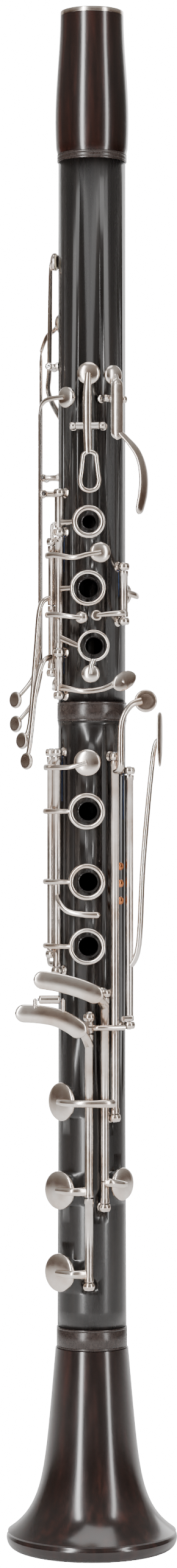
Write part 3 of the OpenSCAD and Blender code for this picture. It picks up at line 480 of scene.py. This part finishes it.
# Turned ring with rounded edges and a fine groove near each edge.
def makeRing(name, node, body, radius, low, high, material):
    inner = radius - sections["ringWall"] + 0.02
    r, e = radius + 0.06, min(0.5, (high - low) * 0.18)
    outline = [(inner, low), (r - 0.3, low), (r - 0.08, low + 0.12), (r, low + 0.35)]
    for z in (low + e + 0.5, high - e - 0.5):
        if high - low > 3:
            outline += [(r, z - 0.22), (r - 0.16, z), (r, z + 0.22)]
    outline += [(r, high - 0.35), (r - 0.08, high - 0.12), (r - 0.3, high), (inner, high)]
    bm = bmesh.new()
    spinOutline(bm, outline, Matrix(), closed=True, steps=96)
    finishPiece(name, bm, material, body, [node])


corks = {"places": [(10.93, barrelFoot + 3.02), (11.33, waist - 15.48), (11.93, foot - 15.48)],
         "long": 12.46, "thick": 1.05, "lead": 2.0}


def makeCorks():
    bm = bmesh.new()
    for radius, low in corks["places"]:
        high, inside, lead = low + corks["long"], radius - corks["thick"], corks["lead"]
        outline = [(inside, low), (radius - 0.3, low), (radius - 0.05, low + 0.5), (radius, low + lead),
                   (radius, high - lead), (radius - 0.05, high - 0.5), (radius - 0.3, high), (inside, high)]
        spinOutline(bm, outline, Matrix(), closed=True, steps=64)
    finishPiece("tenonCorks", bm, "cork", "body", ["tenon_corks"])


makeBarrel()
makeBell()
makeRing("barrelTopRing", "barrel_top_ring", "barrel_body", 13.84, barrelTop - 2.2, barrelTop, "silver")
makeRing("barrelFootRing", "barrel_base_ring", "barrel_body", 15.25, barrelFoot, barrelFoot + 3.6, "band")
makeRing("middleRing", "middle_ring", "body", 15.2, waist - 8.5, waist, "band")
makeRing("bellRing", "bell_ring", "body", 15.45, foot - 9.3, foot, "band")
makeCorks()
for node, material in (("upper_joint", "joint"), ("lower_joint", "joint"), ("thumb_tube", "band"),
                       ("register_vent", "steel"), ("thumb_rest", "silver"), ("thumb_rest_screws", "steel"),
                       ("upper_axles", "steel"), ("lower_axles", "steel"), ("pivot_pins", "steel"),
                       ("needle_springs", "spring")):
    smoothCopy(node, material, "body")
smoothCopy("e_key_axle", "steel", "low_e")
smoothCopy("roller_pin", "steel", "low_f")
print("wood, rings, corks and rods made")


# Rods and posts: each rod is (angle, reach)

rodA, rodB, rodX = (-52, 18.1), (-71, 18.3), (49.5, 18.1)
rodG, rodH, rodC = (-57, 18.1), (-76, 18.3), (33, 18.1)
rodD, rod1, rod2 = (62, 18.4), (-4, 18.3), (17.5, 18.3)

upperPosts = [(rodA, waist + 91.45), (rodA, waist + 74.15), (rodA, waist + 21.45), (rodA, waist + 2.75),
              (rodB, waist + 70.35), (rodB, waist + 12.75), (rodX, waist + 59.05), (rodX, waist + 35.15)]
lowerPosts = [(rodH, foot + 252.35), (rodH, foot + 163.85), (rodG, foot + 252.35), (rodG, foot + 156.75),
              (rodC, foot + 250.55), (rodC, foot + 92.85), (rodD, foot + 244.35), (rodD, foot + 132.85),
              (rod2, foot + 147.35), (rod2, foot + 53.95), (rod1, foot + 136.85), (rod1, foot + 19.65)]
yokes = {"register": (-105, waist + 148, 18.4, 4.2), "throatA": (-6, waist + 120, 18.4, 6.5),
         "gSharp": (33, waist + 132, 18.2, 4.6), "trill1": (-86, waist + 91.5, 21.4, 3.2),
         "trill2": (-103, waist + 99, 21.4, 3.2)}

guides = {"angle": 46, "reach": 14.5, "heights": (foot + 187.5, foot + 195, foot + 202.5)}

for name, node, places in (("upperPosts", "upper_posts", upperPosts),
                           ("lowerPosts", "lower_posts", lowerPosts)):
    bm = bmesh.new()
    for rod, height in places:
        post(bm, rod, height)
    finishPiece(name, bm, "silver", "body", [node])
bm = bmesh.new()
for yoke in yokes.values():
    yokeLegs(bm, yoke)
finishPiece("yokePosts", bm, "silver", "body", ["yoke_posts"])
bm = bmesh.new()
for height in guides["heights"]:
    outline = [(0, -0.6), (2.0, -0.6), (2.1, 0.2), (1.5, 0.7), (1.25, 1.2), (1.25, 2.0), (1.6, 2.4),
               (1.75, 2.9),
               (1.5, 3.4), (0.9, 3.65), (0, 3.7)]
    place = polar(guides["angle"], guides["reach"], height)
    spinOutline(bm, outline, axesTo(place, outward(guides["angle"])), steps=28)
finishPiece("guidePosts", bm, "copper", "body", ["guide_posts"])
print("posts made")


# Keys

smallFace, largeFace = 15.65, 16.15      # a closed pad's face from the body axis
overR, lugR = 21.8, 21.7                 # reach of arms that pass over tubes and posts

ring1, ring2, ring3 = (waist + 78.3, -1.2, 7.3, 4.8, 0.3), (waist + 49.4, -1.5, 7.9, 6.0,
                                                            0.3), (waist + 24.2, 0.9, 7.1, 5.6, 0.3)
ring4, ring5, ring6 = (foot + 226.6, -1.7, 8.1, 5.9, 0.55), (foot + 195.8, -1.6, 8.1, 5.9,
                                                             0.55), (foot + 167.7, -1.5, 8.1, 6.1, 0.55)

pads = {  # angle, height, cup radius, face
    "register": (-105, waist + 194.5, 4.0, smallFace), "throatA": (-5, waist + 143, 5.0, smallFace),
    "gSharp": (33, waist + 142.5, 4.4, smallFace), "trill1": (-41, waist + 133, 4.6, smallFace),
    "trill2": (-129, waist + 168, 4.6, smallFace), "bFlat": (12, waist + 65, 4.6, smallFace),
    "sideF": (-15.5, waist + 36.6, 2.8, smallFace), "vent": (0, waist + 12, 4.0, smallFace),
    "cross": (118, waist + 48, 4.4, smallFace), "cSharp": (-126, waist + 12.5, 4.4, smallFace),
    "ringKey": (-3, foot + 247.8, 5.9, smallFace), "fork": (-120, foot + 167, 4.6, smallFace),
    "aFlat": (50, foot + 63.5, 7.2, largeFace), "fSharp": (-50, foot + 99.5, 8.4, largeFace),
    "lowF": (-50, foot + 61, 8.4, largeFace), "lowE": (-50, foot + 25, 8.4, largeFace),
}


def crown(pad, lift=2.9):
    return polar(pads[pad][0], pads[pad][3] + lift, pads[pad][1])


def cupArm(pad, points, width=(1.45, 1.0), flat=(0.62, 1.0)):
    lift = 2.95 if pads[pad][3] == smallFace else 3.1
    past = [crown(pad, lift)]
    return {"points": points + past, "width": width, "flat": flat}


def ringArm(rod, ring, over=()):
    return {"points": [polar(*rod, ring[0]), *over, ringRim(ring)], "width": (1.35, 1.0), "flat": 0.8}


def sideTouch(x, y, z):
    return {"place": Vector((x, y, z)), "normal": Vector((-0.766, -0.643, 0)), "radius": 3.8, "thick": 1.8,
            "dish": 0.25}


def lowerRingArm(ring):
    z = ring[0]
    return ringArm(rodH, ring, [polar(-68, overR, z), polar(-50, overR, z), polar(-34, 19.6, z)])


def bar(angle, reach, low, high, half=1.5, thick=0.7):
    points = [polar(angle, reach, low + (high - low) * k / 3) for k in range(4)]
    return {"points": points, "width": half, "flat": thick / half, "roundEnds": True}


def flatPlate(points, half=4.0):
    return {"points": points, "width": half, "flat": 0.25, "roundEnds": True, "sides": 20, "steps": 12,
            "facing": Vector((0, -1, 0))}


def loopPoints():
    side = Matrix.Rotation(radians(-3), 3, "Z") @ Vector((1, 0, 0))
    shape = [(0, -8.5), (2.9, -7.35), (4.05, -4.4), (3.6, -0.5), (3.1, 4), (2.6, 7.3), (0, 8.5),
             (-2.6, 7.3),
             (-3.1, 4), (-3.6, -0.5), (-4.05, -4.4), (-2.9, -7.35)]
    centre = polar(-3, 19.7, waist + 100.1)
    return [centre + side * x + Vector((0, 0, y)) for x, y in shape]


def leafPoints():
    side = Matrix.Rotation(radians(40), 3, "Z") @ Vector((1, 0, 0))
    centre = polar(40, 21.9, waist + 9)
    tilt = radians(20)
    return [centre + (side * cos(tilt) + Vector((0, 0, sin(tilt)))) * k for k in (-7.1, -3.5, 0, 3.5, 7.1)]


sharpZ, ringZ, forkZ, leftZ = waist + 6, foot + 245.8, foot + 159.8, foot + 99.5
keys = {
    "registerKey": {"body": "register", "node": "register_key", "yoke": "register", "cups": ["register"],
        "arms": [{"points": [crown("register"), polar(-105, 18.9, waist + 186),
                             polar(-105, 19.4, waist + 148),
                             polar(-106, 19.9, waist + 137), polar(-135, 20.6, waist + 128),
                             polar(-160, 20.4, waist + 118),
                             polar(-170, 20.2, waist + 114)],
                  "width": (1.1, 1.6, 1.9, 1.7, 1.6, 1.9), "flat": 0.6}],
        "touches": [{"place": polar(-170, 20.2, waist + 114), "normal": outward(-170), "radius": 5,
                     "thick": 1.6, "dish": 0.3}]},
    "throatAKey": {"body": "throat_a", "node": "throat_a_key", "yoke": "throatA", "cups": ["throatA"],
        "arms": [{"points": [crown("throatA", 3.1), polar(-6, 19.6, waist + 134),
                             polar(-6, 19.6, waist + 120), polar(-5, 19.7, waist + 108)],
                  "width": (1.2, 1.9, 1.9, 1.6), "flat": 0.6},
                 {"points": loopPoints(), "width": 1.02, "flat": 0.78, "closed": True, "steps": 5}]},
    "gSharpKey": {"body": "g_sharp", "node": "g_sharp_key", "yoke": "gSharp", "cups": ["gSharp"],
        "arms": [bar(33, 20, waist + 114, waist + 141, 3.1, 0.8),
                 {"points": [polar(33, 20, waist + 138), crown("gSharp", 3.0)], "width": (1.9, 1.2),
                  "flat": 0.7},
                 {"points": [Vector((11.2, -16.6, waist + 118)), Vector((15.6, -14.6, waist + 114)),
                             Vector((20.2, -11.6, waist + 108)),
                             Vector((22.4, -10.0, waist + 100)), Vector((22.2, -10.2, waist + 91)),
                             Vector((20.2, -11.4, waist + 82))],
                  "width": (1.6, 1.8, 2.7, 3.5, 3.7, 2.9), "flat": 0.3, "roundEnds": True, "steps": 9,
                  "facing": outward(58), "sides": 18}]},
    "trillKey1": {"body": "trill_1", "node": "trill_key_1", "yoke": "trill1", "cups": ["trill1"],
        "arms": [bar(-86, 23, waist + 21, waist + 130),
                 cupArm("trill1", [polar(-86, 23, waist + 127), polar(-80, 22.4, waist + 130.5),
                                   polar(-66, 21.0, waist + 132.5)]),
                 {"points": [polar(-86, 23, waist + 24), Vector((-25.8, -1.2, waist + 11)),
                             Vector((-32.6, -1.0, waist + 2))],
                  "width": (1.3, 1.2), "flat": 0.8}],
        "touches": [sideTouch(-33.5, -0.8, waist + 1)]},
    "trillKey2": {"body": "trill_2", "node": "trill_key_2", "yoke": "trill2", "cups": ["trill2"],
        "arms": [bar(-103, 23, waist + 12, waist + 156),
                 cupArm("trill2", [polar(-103, 23, waist + 155), polar(-116, 22.2, waist + 162),
                                   polar(-126, 20.4, waist + 165.5)]),
                 {"points": [polar(-103, 23, waist + 14), Vector((-25.5, 4.6, waist + 1)),
                             Vector((-32.5, 4.6, waist - 8.5))],
                  "width": (1.3, 1.2), "flat": 0.8}],
        "touches": [sideTouch(-33.5, 4.6, waist - 9.5)]},
    "sideBFlatKey": {"body": "side_b_flat", "node": "side_b_flat_key", "rod": rodB,
                     "tubes": [(waist + 42.4, waist + 68.5)],
        "cups": ["bFlat"],
        "arms": [cupArm("bFlat", [polar(*rodB, waist + 64), polar(-66, overR, waist + 64),
                                  polar(-48, overR, waist + 64),
                                  polar(-24, 20.3, waist + 62.6), polar(-6, 18.9, waist + 64)]),
                 {"points": [polar(*rodB, waist + 46), Vector((-22.5, -7.5, waist + 42)),
                             Vector((-24.5, -7, waist + 23)),
                             Vector((-27.2, -6, waist - 9)), Vector((-30, -5, waist - 16))],
                             "width": (1.6, 1.3), "flat": 0.75}],
        "touches": [sideTouch(-30.5, -5.2, waist - 17)]},
    "sideFSharpKey": {"body": "side_f_sharp", "node": "side_f_sharp_key", "rod": rodB,
                      "tubes": [(waist + 14.6, waist + 42.1)],
        "cups": ["sideF"],
        "arms": [cupArm("sideF", [polar(*rodB, waist + 38), polar(-66, overR, waist + 38),
                                  polar(-48, overR, waist + 38),
                                  polar(-28, 20, waist + 37)]),
                 {"points": [polar(*rodB, waist + 20), Vector((-21.5, -11, waist + 17)),
                             Vector((-24.5, -11.5, waist + 5)),
                             Vector((-27, -10.5, waist - 18)), Vector((-28.5, -10, waist - 25))],
                             "width": (1.6, 1.3), "flat": 0.75}],
        "touches": [sideTouch(-28.5, -10.4, waist - 26)]},
    "firstRingKey": {"body": "first_ring", "node": "first_ring_key", "rod": rodA,
                     "tubes": [(waist + 76, waist + 89.6)],
        "rings": [ring1], "swing": -5,
        "arms": [ringArm(rodA, ring1),
                 {"points": [polar(*rodA, waist + 78), polar(-52, lugR, waist + 77),
                             polar(-52, lugR, waist + 70.4)],
                  "width": 0.85, "steps": 4}]},
    "upperRingKey": {"body": "upper_ring", "node": "upper_ring_key", "rod": rodA,
                     "tubes": [(waist + 23.4, waist + 72.2)],
        "rings": [ring2, ring3], "cups": ["vent"], "swing": -5,
        "arms": [ringArm(rodA, ring2), {"points": [polar(*rodA, waist + 28.2), ringRim(ring3)],
                                        "width": (1.6, 1.2), "flat": 0.8},
                 {"points": [Vector((1.2, -17.6, waist + 17.9)), polar(1, 18.5, waist + 15), crown("vent")],
                  "width": (1.3, 1.0)},
                 {"points": [polar(*rodA, waist + 70.4), polar(-45.8, lugR, waist + 70.4)],
                  "width": 0.85}]},
    "crossKey": {"body": "cross", "node": "cross_key", "rod": rodX, "tubes": [(waist + 37, waist + 57.2)],
                 "cups": ["cross"],
        "arms": [{"points": [polar(*rodX, waist + 39), polar(38, 21, waist + 38.6),
                             polar(20, 20, waist + 38), polar(6, 18.9, waist + 37.4)],
                  "width": (1.4, 1.0), "flat": 0.8},
                 cupArm("cross", [polar(*rodX, waist + 48), polar(66, 20.4, waist + 47),
                                  polar(88, 20, waist + 46.5), polar(105, 19.4, waist + 47)])],
        "touches": [{"place": polar(6, 18.85, waist + 37.4), "normal": outward(6), "radius": 2.4,
                     "thick": 1.5}]},
    "cSharpKey": {"body": "c_sharp", "node": "c_sharp_key", "rod": rodA,
                  "tubes": [(waist + 4.6, waist + 19.6)], "cups": ["cSharp"],
        "arms": [{"points": [polar(*rodA, sharpZ), polar(-38, 19.3, sharpZ), polar(-12, 19, sharpZ - 1.6),
                             polar(12, 19.2, sharpZ - 0.8),
                             polar(28, 20.8, sharpZ + 1.7), polar(38, 21.7, sharpZ + 3)],
                             "width": (1.6, 1.2, 1.3, 1.7), "flat": 0.8},
                 {"points": [polar(*rodA, sharpZ), polar(-66, 16.9, sharpZ), polar(-90, 16.7, sharpZ),
                             polar(-104, 17, sharpZ + 1),
                             polar(-113, 18.0, sharpZ + 3), crown("cSharp", 2.7)], "width": 0.95},
                 {"points": leafPoints(), "width": (2.2, 3.6, 4.2, 3.6, 1.8), "flat": 0.2,
                  "roundEnds": True,
                  "facing": outward(40), "sides": 18, "steps": 6}]},
    "lowerRingKey": {"body": "lower_ring", "node": "lower_ring_key", "rod": rodH,
                     "tubes": [(foot + 165.7, foot + 250.5)],
        "rings": [ring4, ring5, ring6], "cups": ["ringKey"], "swing": -5,
        "arms": [lowerRingArm(ring4), lowerRingArm(ring5), lowerRingArm(ring6),
                 cupArm("ringKey", [polar(*rodH, ringZ), polar(-68, overR, ringZ), polar(-48, overR, ringZ),
                                    polar(-25, 20.2, ringZ)])]},
    "forkKey": {"body": "fork", "node": "fork_key", "rod": rodG, "tubes": [(foot + 158.6, foot + 250.5)],
                "cups": ["fork"],
        "arms": [{"points": [polar(*rodG, foot + 190), polar(-45, 20.2, foot + 187),
                             polar(-32, 19.9, foot + 183),
                             polar(-10, 18.9, foot + 181.6), polar(11, 18.6, foot + 181.4)],
                  "width": (1.5, 1.2, 1.3, 1.7), "flat": 0.75, "roundEnds": True},
                 cupArm("fork", [polar(*rodG, forkZ), polar(-80, 19, forkZ),
                                 polar(-104, 19.4, foot + 164)])]},
    "aFlatKey": {"body": "a_flat", "node": "a_flat_key", "rod": rod2,
                 "tubes": [(foot + 55.8, foot + 145.5)], "cups": ["aFlat"],
        "arms": [flatPlate([Vector((-25.3, -24.6, foot + 154)), Vector((-17, -24.9, foot + 152.8)),
                            Vector((-9, -24.9, foot + 151)),
                            Vector((-2, -24.7, foot + 148.6)), Vector((4.6, -24.2, foot + 145.4))]),
                 {"points": [polar(*rod2, foot + 141.5), Vector((4.2, -21.5, foot + 144)),
                             Vector((2.5, -24.3, foot + 146.5))],
                  "width": (2.2, 1.8), "flat": 0.8},
                 cupArm("aFlat", [polar(*rod2, foot + 65.5), polar(22, 21.2, foot + 65),
                                  polar(38, 20.9, foot + 64)], (2.0, 1.4))]},
    "lowFKey": {"body": "low_f", "node": "f_key", "rod": rod1, "tubes": [(foot + 58.5, foot + 129.5)],
                "cups": ["lowF"], "swing": 7.5,
        "arms": [cupArm("lowF", [polar(*rod1, foot + 61), polar(-20, 21, foot + 61),
                                 polar(-32, 20.9, foot + 61)], (2.0, 1.4))],
        "still": [flatPlate([Vector((-33.3, -24.4, foot + 139)), Vector((-25, -24.8, foot + 138.8)),
                             Vector((-16, -24.9, foot + 137.4)),
                             Vector((-9, -24.7, foot + 134.2)), Vector((-3, -24.2, foot + 129.6))]),
                  {"points": [polar(*rod1, foot + 124.5), Vector((-2.6, -21.5, foot + 128)),
                              Vector((-4.5, -24.3, foot + 131.5))],
                   "width": (2.2, 1.8), "flat": 0.8},
                  {"points": [Vector((-12.4, -24.6, foot + 139)), Vector((-12.4, -24.6, foot + 145.6))],
                   "width": 1.0, "roundEnds": True},
                  {"points": [Vector((-24.6, -24.6, foot + 139)), Vector((-24.6, -24.6, foot + 145.6))],
                   "width": 1.0, "roundEnds": True}]},
    "lowEKey": {"body": "low_e", "node": "e_key", "rod": rod1,
                "tubes": [(foot + 21.5, foot + 58), (foot + 130, foot + 135)],
        "cups": ["lowE"], "swing": 7.5,
        "arms": [cupArm("lowE", [polar(*rod1, foot + 25), polar(-20, 21, foot + 25),
                                 polar(-32, 20.9, foot + 25)], (2.0, 1.4)),
                 {"points": [polar(*rod1, foot + 132.5), polar(6, 23.4, foot + 132.5),
                             polar(34, 25, foot + 132.5)], "width": (1.4, 1.2)}]},
    "fSharpKey": {"body": "f_sharp", "node": "f_sharp_key", "rod": rodC,
                  "tubes": [(foot + 94.7, foot + 248.7)], "cups": ["fSharp"],
        "arms": [cupArm("fSharp", [polar(*rodC, leftZ), polar(24, 22.2, leftZ), polar(4, 22.8, leftZ),
                                   polar(-16, 22.6, leftZ),
                                   polar(-34, 21.6, leftZ)], (1.8, 1.4)),
                 {"points": [polar(*rodC, foot + 243.7), polar(33, 22.6, foot + 245.7),
                             polar(33, 22.8, foot + 254.7),
                             Vector((13, -19.4, foot + 265.7)), Vector((16.8, -17.6, foot + 272.7)),
                             Vector((21.4, -16, foot + 274.7))],
                  "width": (1.7, 1.5, 1.4, 1.7), "flat": 0.8}],
        "touches": [{"place": Vector((23.4, -15.7, foot + 274.7)), "normal": Vector((0, -1, 0)),
                     "radius": 5, "thick": 1.8,
                     "dish": 0.3}]},
    "eLever": {"body": "e_lever", "node": "e_lever", "rod": rodD, "tubes": [(foot + 134.7, foot + 242.5)],
        "arms": [{"points": [polar(*rodD, foot + 136.2), polar(50, 21.6, foot + 136.2),
                             polar(38, 22, foot + 136.2)], "width": (1.5, 1.1)},
                 {"points": [polar(*rodD, foot + 158), Vector((20.4, -10.2, foot + 168)),
                             Vector((22.4, -10.6, foot + 205)),
                             Vector((26.6, -10.2, foot + 250)), Vector((29, -9.8, foot + 258))],
                             "width": (1.7, 1.3), "flat": 0.8},
                 {"points": [polar(70, 31.5, foot + z) for z in (246, 252, 258, 264, 270)],
                  "width": (1.2, 2.8, 3.3, 3.3, 2.6),
                  "flat": 0.27, "roundEnds": True, "facing": outward(70), "sides": 18, "steps": 8}]},
}


def buildKey(name, key):
    bm = bmesh.new()
    for low, high in key.get("tubes", []):
        hingeTube(bm, key["rod"], low, high)
    if "yoke" in key:
        rockTube(bm, yokes[key["yoke"]])
    for face in bm.faces:
        face.material_index = 1
    for pad in key.get("cups", []):
        padCup(bm, *pads[pad])
    for ring in key.get("rings", []):
        fingerRing(bm, ring)
    for arm in key.get("arms", []):
        sweep(bm, **arm)
    for touch in key.get("touches", []):
        roundTouch(bm, **touch)
    if "swing" in key:
        bmesh.ops.transform(bm, matrix=turnAbout(key["rod"], key["swing"]), verts=bm.verts)
    for arm in key.get("still", []):
        sweep(bm, **arm)
    piece = finishPiece(name, bm, "silver", key["body"], [key["node"]])
    piece.data.materials.append(finish["tube"])


for name, key in keys.items():
    buildKey(name, key)
print("keys made:", len(keys))

padNodes = {
    "register": ("register_pad", "registerKey"), "throatA": ("throat_a_pad", "throatAKey"),
    "gSharp": ("g_sharp_pad", "gSharpKey"), "trill1": ("trill_pad_1", "trillKey1"),
    "trill2": ("trill_pad_2", "trillKey2"), "bFlat": ("side_b_flat_pad", "sideBFlatKey"),
    "sideF": ("side_f_sharp_pad", "sideFSharpKey"), "vent": ("upper_ring_pad", "upperRingKey"),
    "cross": ("cross_pad", "crossKey"), "cSharp": ("c_sharp_pad", "cSharpKey"),
    "ringKey": ("lower_ring_pad", "lowerRingKey"), "fork": ("fork_pad", "forkKey"),
    "aFlat": ("a_flat_pad", "aFlatKey"), "fSharp": ("f_sharp_pad", "fSharpKey"),
    "lowF": ("f_pad", "lowFKey"), "lowE": ("e_pad", "lowEKey"),
}
for pad, (node, keyName) in padNodes.items():
    bm = bmesh.new()
    padDisc(bm, *pads[pad])
    if "swing" in keys[keyName]:
        bmesh.ops.transform(bm, matrix=turnAbout(keys[keyName]["rod"], keys[keyName]["swing"]),
                            verts=bm.verts)
    finishPiece(pad + "Pad", bm, "pad", keys[keyName]["body"], [node])

bm = bmesh.new()
outline = [(0.76, -4.5), (1.5, -4.5), (1.85, -4.1), (1.9, -3.6), (1.9, 3.6), (1.85, 4.1), (1.5, 4.5),
           (0.76, 4.5)]
spinOutline(bm, outline, axesTo(Vector((-18.5, -24.6, foot + 145)), Vector((1, 0, 0))), closed=True,
            steps=32)
finishPiece("plateRoller", bm, "silver", "roller", ["plate_roller"])
print("pads and roller made")


# Paper sweep, light and camera

studio = {
    "cameraDistance": 1.6, "cameraHeight": 0.336, "cameraSide": -0.0015, "lens": 83.4,
    "sheetFront": 2.6, "sheetBack": 1.0, "bend": 0.7, "sheetHigh": 2.6, "sheetHalf": 2.2, "paperGlow": 16.0,
    "roomLight": 0.42,
}


# White sheet laid on the floor and curved up behind, lit evenly; it shows as white only to the camera.
def makeBackdrop():
    s = studio
    outline = [(-s["sheetFront"], 0.0)] + [(s["sheetBack"] + s["bend"] * sin(a), s["bend"] * (1 - cos(a)))
                                           for a in [pi / 2 * i / 24 for i in range(25)]]
    outline.append((s["sheetBack"] + s["bend"], s["sheetHigh"]))
    bm = bmesh.new()
    rows = []
    for side in (-1, 1):
        verts = [bm.verts.new((side * s["sheetHalf"], y, z)) for y, z in outline]
        rows.append([bm.edges.new(pair) for pair in zip(verts, verts[1:])])
    bmesh.ops.bridge_loops(bm, edges=rows[0] + rows[1])
    bmesh.ops.recalc_face_normals(bm, faces=bm.faces)
    mesh = bpy.data.meshes.new("paperSweep")
    bm.to_mesh(mesh)
    bm.free()
    mesh.shade_smooth()
    sheet = bpy.data.objects.new("paperSweep", mesh)
    bpy.context.scene.collection.objects.link(sheet)
    # matt white seamless paper, over-exposed as in a product picture
    paper = grainMaterial("seamlessPaper", [(0.3, "#f4f4f4"), (0.7, "#ffffff")], 2, 0.85, 0.02)
    tree = paper.node_tree
    path = addNode(tree, "ShaderNodeLightPath")
    glow = addNode(tree, "ShaderNodeMapRange", {"Value": path.outputs["Is Camera Ray"]}, To_Min=0.0,
                   To_Max=s["paperGlow"])
    shader = next(node for node in tree.nodes if node.type == "BSDF_PRINCIPLED")
    shader.inputs["Emission Color"].default_value = (1, 1, 1, 1)
    tree.links.new(glow.outputs["Result"], shader.inputs["Emission Strength"])
    mesh.materials.append(paper)


def areaLight(name, place, size, watts, colour="#ffffff", target=(0, 0, 0.34)):
    data = bpy.data.lights.new(name, "AREA")
    data.shape = "RECTANGLE"
    data.size, data.size_y = size
    data.energy = watts
    data.color = linear(colour)[:3]
    lamp = bpy.data.objects.new(name, data)
    lamp.location = place
    lamp.rotation_euler = (Vector(target) - Vector(place)).to_track_quat("-Z", "Y").to_euler()
    bpy.context.scene.collection.objects.link(lamp)


# Room seen in the polished keys: brown below, grey level with the eye, bright above.
def makeWorld():
    world = bpy.data.worlds.new("studioRoom")
    world.use_nodes = True
    tree = world.node_tree
    tree.nodes.clear()
    ray = addNode(tree, "ShaderNodeTexCoord").outputs["Generated"]
    height = addNode(tree, "ShaderNodeSeparateXYZ", {"Vector": ray}).outputs["Z"]
    level = addNode(tree, "ShaderNodeMapRange", {"Value": height}, From_Min=-1.0,
                    From_Max=1.0).outputs["Result"]
    shade = ramp(tree, level, [(0.3, "#38281f"), (0.46, "#7b5f4e"), (0.54, "#a79a90"), (0.75, "#f4f0ea")])
    room = addNode(tree, "ShaderNodeBackground", {"Color": shade}, Strength=studio["roomLight"])
    addNode(tree, "ShaderNodeOutputWorld", {"Surface": room.outputs[0]})
    bpy.context.scene.world = world


makeBackdrop()
makeWorld()
areaLight("keyStrip", (-0.62, -1.05, 0.5), (0.15, 1.6), 26)
areaLight("fillStrip", (0.95, -0.85, 0.45), (0.12, 1.5), 12)
areaLight("topSoft", (0.1, -0.3, 1.9), (1.2, 1.2), 14)
areaLight("backSoft", (0.2, 1.4, 0.9), (1.6, 1.2), 16)

cameraData = bpy.data.cameras.new("camera")
cameraData.lens = studio["lens"]
cameraData.sensor_width = 36
camera = bpy.data.objects.new("camera", cameraData)
camera.location = (studio["cameraSide"], -studio["cameraDistance"], studio["cameraHeight"])
camera.rotation_euler = (pi / 2, 0, 0)
bpy.context.scene.collection.objects.link(camera)
bpy.context.scene.camera = camera
print("studio made")
